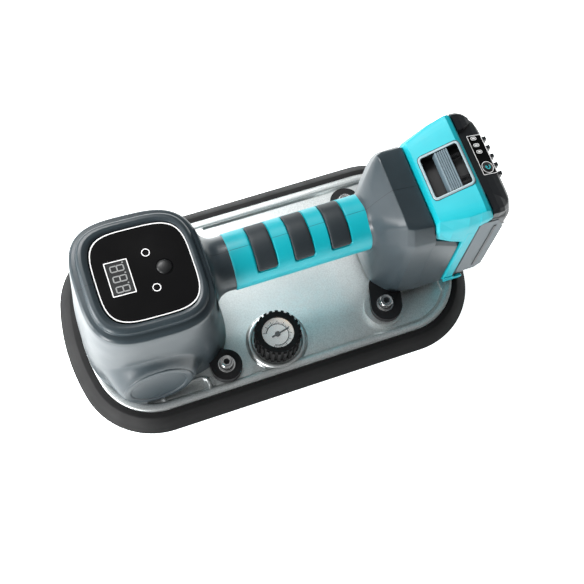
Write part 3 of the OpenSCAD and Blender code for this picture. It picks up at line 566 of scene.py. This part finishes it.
# ---------------------------------------------------------------- body
# Sections of the head from the plate up: left end, right end, half width, power, height, tip in degrees
HEAD_ROWS = [[-132, -35.6, 46.6, 3.0, RIM_Z, 0], [-132, -37, 46.3, 3.0, 24, 0],
             [-131.2, -38.4, 45.6, 3.05, 40, 0], [-129.2, -39.7, 44.8, 3.1, 60, 0.6],
             [-127.2, -40.8, 43.8, 3.15, 80, 3], [-125.7, -41.6, 42.8, 3.2, 96.5, HEAD_TIP],
             [-125.1, -42, 42.3, 3.2, 100.2, HEAD_TIP], [-123.6, -43.5, 40.8, 3.25, 101.7, HEAD_TIP],
             [-120.3, -46.3, 37.6, 3.6, 102.4, HEAD_TIP], [-119.9, -46.7, 37.2, 3.7, 104.8, HEAD_TIP],
             [-118.6, -47.8, 36, 3.75, 106, HEAD_TIP], [-116.6, -49.6, 34, 3.8, 106.4, HEAD_TIP],
             [-114.7, -51.4, 32.2, 3.84, 105.8, HEAD_TIP], [-113.2, -50.5, 31.3, 3.84, 104.6, HEAD_TIP],
             [-113.2, -50.5, 31.3, 3.84, 102.4, HEAD_TIP]]


def head_ring(x0, x1, b, n, z, tip):
    """One section of the head, tipped about the panel's middle."""
    pts = oval((x1 - x0) / 2, b, n, 208, (x0 + x1) / 2, 0)
    lean = math.tan(math.radians(tip))
    return [boss_swell((x, y, z - lean * (x - PANEL.x))) for x, y in pts]


def boss_swell(p):
    """Pushes the near wall out to the round motor boss with a soft fillet round it."""
    x, y, z = p
    if y > NEAR_WALL:
        return p
    face = BOSS.y + 0.7 + math.tan(BOSS_TILT) * (z - BOSS.z)
    d = math.hypot(x - BOSS.x, z - BOSS.z)
    t = min(1, max(0, (d - BOSS_R) / BOSS_BLEND))
    t = t * t * (3 - 2 * t)
    return (x, min(y, face + (y - face) * t), z)


def head():
    """Open-topped head shell; the display closes it."""
    rows = finer(softened(HEAD_ROWS, 0.13, 2), 1.8, 4)
    piece("head_shell", *loft_data([head_ring(*r) for r in rows], caps=False), "body", slot="body_grey",
          replaces=["right_housing", "left_housing"], smooth=60)


def boss_face():
    """Round end of the motor boss with its shallow dish."""
    profile = [(0.01, -1.1), (17.4, -1.1), (18.2, -0.9), (18.7, -0.35), (19.1, -0.05), (19.6, 0), (22.2, 0),
               (23.1, -0.25), (23.7, -0.9), (24, -2), (24.2, -6)]
    place = Matrix.Translation(BOSS) @ Matrix.Rotation(math.pi / 2 - BOSS_TILT, 4, "X")
    piece("motor_boss_cover", *moved(lathe(profile, 128), place), "body", slot="body_grey", smooth=50)


def neck():
    """Round neck that flares into the head."""
    straight, flare, steps = 5, 10.5, 12
    rows = [(GRIP_X0, 17.95), (GRIP_X0 - straight, 17.95)]
    for i in range(1, steps + 1):
        t = math.pi / 2 * i / steps
        rows.append((GRIP_X0 - straight - flare * math.sin(t), 18 + flare * (1 - math.cos(t))))
    rings = [[(x, y, GRIP_Z + z) for y, z in circle(r, 96)] for x, r in rows]
    piece("neck_shell", *loft_data(rings), "body", slot="body_grey", smooth=50)


# Sections of the battery mount along X: half width and height of the top, half width and height of the
# shoulder, half width and height of the bottom, and the share of each side that its corners round off
MOUNT_ROWS = [[57, 10.3, 96.3, 20.6, GRIP_Z, 10.3, 60.7, 0.49],
              [62, 10.3, 96.3, 20.6, GRIP_Z, 10.3, 60.7, 0.49],
              [64.9, 11.5, 97.8, 21, 80, 13, 46, 0.42], [67, 14.5, 100.4, 22, 84, 18.5, 26, 0.34],
              [70, 18, 104.6, 25, 89, 24, RIM_Z, 0.26], [76, 24, 111.8, 30.8, 94, 30.2, RIM_Z, 0.18],
              [79.6, 26.4, 115.3, 33.6, 97, 33, RIM_Z, 0.15], [84, 28, 114, 35.7, 98, 35, RIM_Z, 0.13],
              [98, 28.8, 110.7, 36.2, 98, 36.4, RIM_Z, 0.12]]
CHEEK_ROWS = [[97, 34, 98.4, 36.3, 94, 36.4, RIM_Z, 0.14], [101, 34, 95.8, 36.4, 92, 36.5, RIM_Z, 0.14],
              [116.4, 34.4, 84.8, 36.4, 80, 36.5, RIM_Z, 0.14],
              [117, 33.9, 84.2, 35.9, 79.6, 36, RIM_Z + 0.4, 0.14]]


def hex_ring(x, th, z1, sh, zs, bh, z0, t, steps=8):
    """A section across the body with six rounded corners."""
    c = [(sh, zs), (th, z1), (-th, z1), (-sh, zs), (-bh, z0), (bh, z0)]
    out = []
    for i in range(6):
        for k in range(steps + 1):
            u = k / steps
            a = [c[i][j] + t * (c[i - 1][j] - c[i][j]) for j in (0, 1)]
            b = [c[i][j] + t * (c[(i + 1) % 6][j] - c[i][j]) for j in (0, 1)]
            p = [(1 - u) ** 2 * a[j] + 2 * u * (1 - u) * c[i][j] + u * u * b[j] for j in (0, 1)]
            out.append((x, p[0], p[1]))
    return out


def battery_mount():
    """Six-sided mount with two cheeks round the battery's bay."""
    main = loft_data([hex_ring(*r) for r in softened(MOUNT_ROWS, 0.07, 1)])
    cheeks = loft_data([hex_ring(*r) for r in CHEEK_ROWS])
    mount = piece("battery_mount", *main, "body", slot="body_grey", smooth=28)
    side = piece("cheek_tool", *cheeks, "body")
    bay = piece("bay_tool", *block(97.4, 130, -32.6, 32.6, 17, 140), "body")
    pocket = piece("pocket_tool", *block(92, 99, -24, 24, 24, 80), "body")
    cut(mount, [side], "UNION")
    cut(mount, [bay, pocket])
    mount.data.shade_smooth()
    mount.data.set_sharp_from_angle(angle=math.radians(20))
    bevelled(mount, 0.9, 3, 14)


# ---------------------------------------------------------------- grip
def pad_distance(x, s):
    """Distance to the nearest soft pad's rounded outline, negative inside; s runs round the grip."""
    best = 99.0
    for xc in PAD_X:
        qx, qs = abs(x - xc) - (PAD_W / 2 - PAD_CORNER), abs(s) - (PAD_S - PAD_CORNER)
        best = min(best, math.hypot(max(qx, 0), max(qs, 0)) + min(max(qx, qs), 0) - PAD_CORNER)
    return best


def grip_sleeve():
    """Hard sleeve with a shallow well under each soft pad and a fine step at both ends."""
    count, step, inner_r = 160, 0.55, 16.4
    edge_w, edge_drop, well_depth, well_wall = 0.2, 0.35, 1.5, 0.7
    n = round((GRIP_X1 - GRIP_X0) / step)
    turns = [2 * math.pi * j / count for j in range(count)]
    inner = [(inner_r * math.sin(a), GRIP_Z + inner_r * math.cos(a)) for a in turns]
    rings = [[(GRIP_X0, y, z) for y, z in inner]]
    for i in range(n + 1):
        x = GRIP_X0 + (GRIP_X1 - GRIP_X0) * i / n
        drop = edge_drop if min(x - GRIP_X0, GRIP_X1 - x) < edge_w else 0
        ring = []
        for a in turns:
            s = (a if a < math.pi else a - 2 * math.pi) * GRIP_R
            t = min(1, max(0, (well_wall / 2 - pad_distance(x, s)) / well_wall))
            r = GRIP_R - well_depth * t - drop
            ring.append((x, r * math.sin(a), GRIP_Z + r * math.cos(a)))
        rings.append(ring)
    rings.append([(GRIP_X1, y, z) for y, z in inner])
    piece("grip_sleeve", *loft_data(rings, caps=False), "teal", slot="teal_plastic",
          replaces=["grip_shell_right", "grip_shell_left"], smooth=35)


def pad_outline(inset):
    """A pad's outline laid flat, with points close together along its two long sides."""
    outline = round_box(PAD_W / 2 - inset, PAD_S - inset, max(0.3, 2.4 - inset), 6)
    dense = []
    for a, b in zip(outline, outline[1:] + outline[:1]):
        n = 26 if abs(a[1] - b[1]) > 12 else 1
        dense += [(a[0] + (b[0] - a[0]) * i / n, a[1] + (b[1] - a[1]) * i / n) for i in range(n)]
    return dense


def grip_pads():
    """Three soft pads wrapped over the grip, each closed by strips across its top."""
    layers = [(0.45, -2.0), (0.45, -0.45), (0.6, -0.1), (1.0, 0.18), (1.7, 0.3), (3.2, 0.32), (5.2, 0.32),
              (6.6, 0.32)]
    data = []
    for xc in PAD_X:
        rings = []
        for inset, lift in layers:
            flat = pad_outline(inset)
            r = GRIP_R + lift
            rings.append([(xc + u, r * math.sin(s / GRIP_R), GRIP_Z + r * math.cos(s / GRIP_R))
                          for u, s in flat])
        verts, faces = loft_data(rings, caps=False)
        last = (len(rings) - 1) * len(rings[0])
        order = sorted(range(len(flat)), key=lambda k: flat[k][1])
        left = [last + k for k in order if flat[k][0] < 0]
        right = [last + k for k in order if flat[k][0] > 0]
        faces += [(left[k], left[k + 1], right[k + 1], right[k]) for k in range(len(left) - 1)]
        data.append((verts, faces))
    piece("grip_pad_set", *joined(*data), "pad", slot="pad_rubber", replaces=["grip_pads"], smooth=50)


# ---------------------------------------------------------------- display
# Places of a figure's seven segments in half widths and half heights, and whether each stands upright
SEGMENTS = [((0, 1), 0), ((1, 0.5), 1), ((1, -0.5), 1), ((0, -1), 0), ((-1, -0.5), 1), ((-1, 0.5), 1),
            ((0, 0), 0)]


def segment(cx, cy, length, width, upright):
    """Outline of one pointed segment."""
    h, w = length / 2, width / 2
    pts = [(-h, 0), (-h + w, w), (h - w, w), (h, 0), (h - w, -w), (-h + w, -w)]
    return [(cx + (-y if upright else x), cy + (x if upright else y)) for x, y in pts]


def digits():
    """Three unlit seven-segment figures, read from the battery end."""
    pitch, half_w, half_h, thick, stroke = 6.9, 1.85, 4.1, 0.06, 0.75
    data = []
    for i in range(3):
        v = (i - 1) * pitch
        for (sx, sy), upright in SEGMENTS:
            shape = segment(sx * half_w, sy * half_h, 4.0 if upright else 3.6, stroke, upright)
            data.append(flat_shape([(WINDOW_U - y, v + x - 0.4) for x, y in shape], 0, thick))
        data.append(flat_shape(circle(0.5, 16, WINDOW_U + 4.2, v + 2.8), 0, thick))
    piece("display_digits", *moved(joined(*data), on_panel(-0.25)), "digit", slot="led_clear")


def display():
    """Black panel with a sunk window and a hole for the button."""
    outer, top = (oval(PANEL_A - d, PANEL_B - d, PANEL_POWER, 160) for d in (0, 0.25))
    glass = loft_data([[(x, y, -2) for x, y in outer], [(x, y, -0.2) for x, y in outer],
                       [(x, y, 0) for x, y in top]])
    panel = piece("display_glass", *moved(glass, on_panel()), "panel", slot="panel_black",
                  replaces=["display_panel"], smooth=40)
    window = WINDOW_U - WINDOW_A, WINDOW_U + WINDOW_A, -WINDOW_B, WINDOW_B
    opening = piece("window_tool", *moved(block(*window, -3, 1), on_panel()), "panel")
    place = on_panel() @ Matrix.Translation((BUTTON_U, 0, 0))
    hole = piece("button_tool", *moved(lathe([(5.25, -3), (5.25, 1)], 64), place), "panel")
    cut(panel, [opening, hole])
    panel.data.shade_smooth()
    panel.data.set_sharp_from_angle(angle=math.radians(15))
    pane = moved(block(*window, -1.6, -0.3), on_panel())
    bevelled(piece("display_window", *pane, "window", slot="panel_black"), 0.15)


def panel_print():
    """White lines on the panel: its border, the window's frame and a ring round each lamp."""
    border = frame_shape(oval(PANEL_A - 0.1, PANEL_B - 0.1, PANEL_POWER, 160),
                         oval(PANEL_A - 0.75, PANEL_B - 0.75, PANEL_POWER, 160), 0.0, 0.05)
    box = frame_shape(round_box(WINDOW_A + 0.25, WINDOW_B + 0.25, 0.5),
                      round_box(WINDOW_A - 0.35, WINDOW_B - 0.35, 0.3), 0, 0.08)
    box = moved(box, Matrix.Translation((WINDOW_U, 0, 0)))
    rings = [frame_shape(circle(2.65, 48, LAMP_U, v), circle(2.1, 48, LAMP_U, v), 0, 0.06)
             for v in (-LAMP_V, LAMP_V)]
    piece("panel_print", *moved(joined(border, box, *rings), on_panel()), "mask", slot="dial_white")


def power_cap():
    """Domed power button."""
    profile = [(0.01, 1.35), (1.5, 1.3), (3, 1.05), (4.1, 0.65), (4.75, 0.2), (4.95, -0.3), (4.95, -5)]
    place = on_panel() @ Matrix.Translation((BUTTON_U, 0, 0))
    piece("power_cap", *moved(lathe(profile, 64), place), "button", body="button", slot="button_black",
          replaces=["power_button"], smooth=50)


# ---------------------------------------------------------------- foot screws
def knurled(verts, count, top):
    """Fine vertical ribs round a screw head: two points out of three stand proud."""
    out = []
    for k, (x, y, z) in enumerate(verts):
        on_side = -4.7 < z - top < -0.3
        proud = 1.035 if (k % count) % 3 and on_side else 1
        out.append((x * proud, y * proud, z))
    return out


def screw_details():
    """Knurled heads of the four foot screws, with painted shade on the dark socket floors and painted shadow
    in the split washers' gaps.
    """
    low, high = box_mm("foot_screws")
    washer_z = box_mm("foot_washers")[1].z
    count = 72
    rim = [(2.9, -0.02), (3.2, 0.12), (3.8, 0.12), (4.05, -0.05), (4.3, -0.5), (4.3, -4.6), (4.0, -4.9),
           (2.9, -4.9)]
    head, head_faces = lathe([(r, high.z + h) for r, h in rim], count, closed=True)
    head = knurled(head, count, high.z)
    # painted shade: a dark hexagon fills each screw head's hex recess below its top
    socket = flat_shape(circle(2.28, 6), high.z - 2.4, high.z - 0.7)
    # painted shadow: a dark ring at the washer's top, in the gap under each screw head
    gap_top, gap_foot = washer_z + 0.01, washer_z - 0.25
    gap = lathe([(2.6, gap_top), (4.75, gap_top), (4.75, gap_foot), (2.6, gap_foot)], 48, closed=True)
    socket_shades, heads, gap_shadows = [], [], []
    for x, y in ((low.x + FOOT_HEAD_R, high.y - FOOT_HEAD_R), (high.x - FOOT_HEAD_R, FOOT_B_Y)):
        for sign in (1, -1):
            place = Matrix.Translation((x, sign * y, 0))
            socket_shades.append(moved(socket, place))
            heads.append(moved((head, head_faces), place))
            gap_shadows.append(moved(gap, place))
    piece("screw_socket_shades", *joined(*socket_shades), "well", slot="black_plastic", smooth=20)
    piece("screw_heads", *joined(*heads), "steel", slot="screw_steel", smooth=30)
    piece("washer_gap_shadows", *joined(*gap_shadows), "well", slot="black_plastic", smooth=20)


# ---------------------------------------------------------------- gauge
def arc_band(r0, r1, a0, a1, n):
    """Outline of a band between two radii and two angles."""
    turns = [a0 + (a1 - a0) * i / n for i in range(n + 1)]
    outer = [(r1 * math.cos(a), r1 * math.sin(a)) for a in turns]
    return outer + [(r0 * math.cos(a), r0 * math.sin(a)) for a in reversed(turns)]


def gauge_marks():
    """Scale of the gauge: an arc with long and short ticks."""
    start, end, ticks, thick = math.radians(-50), math.radians(230), 40, 0.05
    data = [flat_shape(arc_band(7.3, 7.9, start, end, 60), 0, thick)]
    for i in range(ticks + 1):
        a = start + (end - start) * i / ticks
        reach, w = (9.0, 0.012) if i % 4 else (9.9, 0.022)
        data.append(flat_shape(arc_band(7.9, reach, a - w, a + w, 2), 0, thick))
    dial_z = box_mm("gauge_dial")[1].z + 0.01
    place = Matrix.Translation((GAUGE.x, GAUGE.y, dial_z)) @ Matrix.Rotation(math.radians(-72), 4, "Z")
    piece("gauge_scale", *moved(joined(*data), place), "needle", slot="needle_black")


# ---------------------------------------------------------------- battery
def on_slope(x=0.0, z=0.0):
    """The place of a shape drawn on the battery's sloping top, x running down the slope's line."""
    return Matrix.Translation(SLOPE_AT) @ Matrix.Rotation(-SLOPE, 4, "Y") @ Matrix.Translation((x, 0, z))


def on_tail():
    """The place of a shape drawn on the charge display."""
    return Matrix.Translation(TAIL_AT) @ Matrix.Rotation(TAIL_TILT, 4, "Y")


def latch_well():
    """Dark lining of the latch's pocket, the raised rim round it and the fine groove outside that."""
    inner = round_box(WELL_A, WELL_B, WELL_R)
    walls = loft_data([[(x, y, z) for x, y in inner] for z in (0.1, -WELL_DEPTH)], caps=False)
    bottom = ([(x, y, -WELL_DEPTH) for x, y in inner], [tuple(range(len(inner)))])
    place = on_slope(WELL_X)
    lining = moved(joined(walls, bottom), place)
    piece("latch_well", *lining, "well", body="battery", slot="pack_dark", smooth=30)
    profile = [(0, 0.35), (0.5, 0.5), (1.2, 0.35), (1.6, 0.02), (1.6, -1), (0, -1)]
    rings = [[(x, y, z) for x, y in round_box(WELL_A + d, WELL_B + d, WELL_R + d)] for d, z in profile]
    piece("latch_rim", *moved(loft_data(rings, closed=True), place), "rim", body="battery", slot="latch_grey")
    groove = frame_shape(round_box(WELL_A + 1.95, WELL_B + 1.95, 3.5),
                         round_box(WELL_A + 1.6, WELL_B + 1.6, 3.2), -0.4, 0.06)
    piece("latch_groove", *moved(groove, place), "well", body="battery", slot="pack_dark")


def latch_bar():
    """Thumb bar: a ramp up to a ribbed crown."""
    ribs, pitch, crown, dip, foot, half_w = 5, 1.4, 0.15, -0.45, -8.4, 13.9
    outline = [(10.9, foot), (10.9, -5.2), (13.2, -0.2), (13.9, crown)]
    for i in range(ribs):
        x = 14.3 + i * pitch
        outline += [(x, crown), (x + 0.3, dip), (x + 0.75, dip), (x + 1.05, crown)]
    outline += [(21.5, crown), (21.6, -0.2), (21.6, foot)]
    rings = [[(x, y, z) for x, z in outline] for y in (-half_w, half_w)]
    bar = piece("latch_bar", *moved(loft_data(rings), on_slope()), "latch", body="latch", slot="latch_grey",
                replaces=["battery_latch"], smooth=20)
    bevelled(bar, 0.12, angle=25)


def latch_coils():
    """The two coil springs behind the thumb bar."""
    turns, steps, sides, radius, wire, gap = 6, 20, 8, 1.5, 0.28, 0.05
    count = turns * steps
    data = []
    for y in SPRING_Y:
        rings = []
        for k in range(count + 1):
            turn = 2 * math.pi * k / steps
            along = SPRING_X + wire + gap + (SPRING_LENGTH - 2 * wire - 2 * gap) * k / count
            ring = []
            for u, v in circle(wire, sides):
                out = radius + u
                ring.append((along + v, y + out * math.cos(turn), SPRING_Z + out * math.sin(turn)))
            rings.append(ring)
        data.append(loft_data(rings))
    # painted shade: the steel springs get the dark well finish for the shade of the pocket they sit in
    coils = piece("latch_coils", *moved(joined(*data), on_slope()), "well", body="battery",
                  slot="screw_steel", replaces=["latch_springs"], smooth=60)
    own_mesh(coils)


def charge_print():
    """White lines of the charge display: its border, three lamps and a ring round the check button."""
    line = 0.07
    data = [frame_shape(round_box(5.25, 14.45, 0.5), round_box(4.85, 14.05, 0.4), 0, line)]
    for y in (12.1, 7.1, 2.2):
        outer, inner, lens = (oval(a, b, 3, 32, -0.9, y) for a, b in ((2.1, 1.25), (1.7, 0.85), (1.2, 0.45)))
        data.append(frame_shape(outer, inner, 0, line))
        data.append(flat_shape(lens, 0, 0.05))
    outer, inner = (oval(r, r, 2, 48, 0, CHECK_V) for r in (4.15, 3.75))
    data.append(frame_shape(outer, inner, 0, line))
    place = on_tail() @ Matrix.Translation((0, 0, 0.01))
    piece("charge_print", *moved(joined(*data), place), "mask", body="battery", slot="dial_white")


def check_cap():
    """Domed check button with a generic open ring and bar on it."""
    profile = [(0.01, 0.55), (2, 0.5), (2.9, 0.3), (3.2, -0.1), (3.2, -1.2)]
    place = on_tail() @ Matrix.Translation((0, CHECK_V, 0))
    piece("check_cap", *moved(lathe(profile, 48), place), "button", body="check_key", slot="button_black",
          replaces=["check_button"], smooth=50)
    low, high = 0.52, 0.62
    ring = arc_band(1.15, 1.7, math.radians(130), math.radians(410), 20)
    mark = joined(flat_shape(ring, low, high), block(-2.1, -0.2, -0.28, 0.28, low, high))
    piece("check_mark", *moved(mark, place), "teal_print", body="check_key", slot="teal_plastic")


def on_side(name, outline, y, low, high, look, slot, bevel):
    """A flat shape on each side of the battery, from an outline along X and up Z."""
    shape = flat_shape(outline, low, high)
    for side, sign in (("near", -1), ("far", 1)):
        verts = [(x, sign * (y + h), z) for x, z, h in shape[0]]
        bevelled(piece(name + "_" + side, verts, shape[1], look, body="battery", slot=slot), bevel)


def side_feet():
    """Small hooked ends of the teal strips, under the side plates."""
    outline = [(118.2, 25), (118.6, 18.2), (131.5, 18.2), (132.6, 20.4), (131.6, 22.3), (126.4, 22.3),
               (124.6, 25)]
    on_side("strip_foot", outline, 37.8, -1.6, 0.35, "pack_teal", "teal_plastic", 0.4)


def side_plates():
    """Textured grey plates let into both sides of the battery, each with a raised rib."""
    side_y = box_mm("battery_base_case")[1].y + 0.02
    outline = [(125.2, 33), (127.4, 30.6), (139.5, 30.6), (143.4, 36), (143.4, 98), (137.2, 111.6),
               (127, 112.4), (125.2, 110)]
    on_side("side_plate", outline, side_y, -0.6, 0.25, "side", "pack_dark", 0.3)
    rib = [(135.6, 38), (137.6, 38), (137.6, 104), (135.6, 104)]
    on_side("side_rib", rib, side_y, 0.2, 0.75, "pack_dark", "pack_dark", 0.3)


# ---------------------------------------------------------------- room
def floor():
    """Plain white floor at the seal's foot."""
    half = 3.0
    verts = [(-half, -half, 0), (half, -half, 0), (half, half, 0), (-half, half, 0)]
    piece("floor", verts, [(0, 1, 2, 3)], "floor", body=None, scale=1.0)


def sky():
    """Soft light from all round, brightest from above and to the left."""
    world = bpy.data.worlds.new("studio")
    bpy.context.scene.world = world
    world.use_nodes = True
    tree = world.node_tree
    back = tree.nodes["Background"]
    back.inputs["Color"].default_value = (1, 1, 1, 1)
    coord = tree.nodes.new("ShaderNodeTexCoord")
    toward = tree.nodes.new("ShaderNodeVectorMath")
    toward.operation = "DOT_PRODUCT"
    toward.inputs[1].default_value = Vector((-0.62, 0.3, 0.72)).normalized()
    glow = tree.nodes.new("ShaderNodeMapRange")
    for socket, value in (("From Min", 0.3), ("From Max", 1.0), ("To Min", 0.06), ("To Max", 0.78)):
        glow.inputs[socket].default_value = value
    tree.links.new(coord.outputs["Generated"], toward.inputs[0])
    tree.links.new(toward.outputs["Value"], glow.inputs["Value"])
    tree.links.new(glow.outputs["Result"], back.inputs["Strength"])


def soft_light(name, place, target, size, power):
    """Rectangular light at a place, turned to a target; metres and watts."""
    data = bpy.data.lights.new(name, "AREA")
    data.shape = "RECTANGLE"
    data.size, data.size_y = size
    data.energy = power
    obj = bpy.data.objects.new(name, data)
    obj.location = place
    obj.rotation_euler = (Vector(target) - Vector(place)).to_track_quat("-Z", "Y").to_euler()
    bpy.context.scene.collection.objects.link(obj)


def lights():
    soft_light("far_soft", (-0.25, 0.85, 1.0), (0, 0, 0.05), (0.8, 0.5), 9)
    soft_light("plate_soft", (-0.2, 0.8, 1.05), (0, 0.03, 0), (0.8, 0.22), 8)
    soft_light("left_strip", (-1.0, 0.1, 0.35), (0, 0, 0.05), (0.35, 0.9), 13)
    soft_light("corner_strip", (-0.85, -0.6, 0.3), (0, 0, 0.05), (0.3, 0.4), 12)
    soft_light("right_soft", (0.9, 0.1, 0.5), (0, 0, 0.05), (0.4, 0.7), 0.4)


def camera():
    """The photograph's viewpoint, from a fit of known edges."""
    data = bpy.data.cameras.new("camera")
    data.sensor_width = 36
    data.lens = 64.74
    data.clip_start, data.clip_end = 0.02, 20
    obj = bpy.data.objects.new("camera", data)
    right = Vector((0.94101913, -0.33326721, 0.05844619))
    up = Vector((0.29309206, 0.88919356, 0.3513287))
    back = Vector((-0.16905631, -0.31347692, 0.93442613))
    turn = Matrix((right, up, back)).transposed().to_4x4()
    obj.matrix_world = Matrix.Translation((-0.10912, -0.24128, 0.70264)) @ turn
    bpy.context.scene.collection.objects.link(obj)
    bpy.context.scene.camera = obj


dress_frame()
soften_frame()
latch_well()
latch_bar()
latch_coils()
charge_print()
check_cap()
side_plates()
side_feet()
seal()
head()
boss_face()
neck()
battery_mount()
grip_sleeve()
grip_pads()
display()
panel_print()
digits()
power_cap()
gauge_marks()
screw_details()
rim_crown()
gauge_seat()
boss_seat()
floor()
sky()
lights()
camera()
bpy.context.scene.view_settings.view_transform = "Standard"
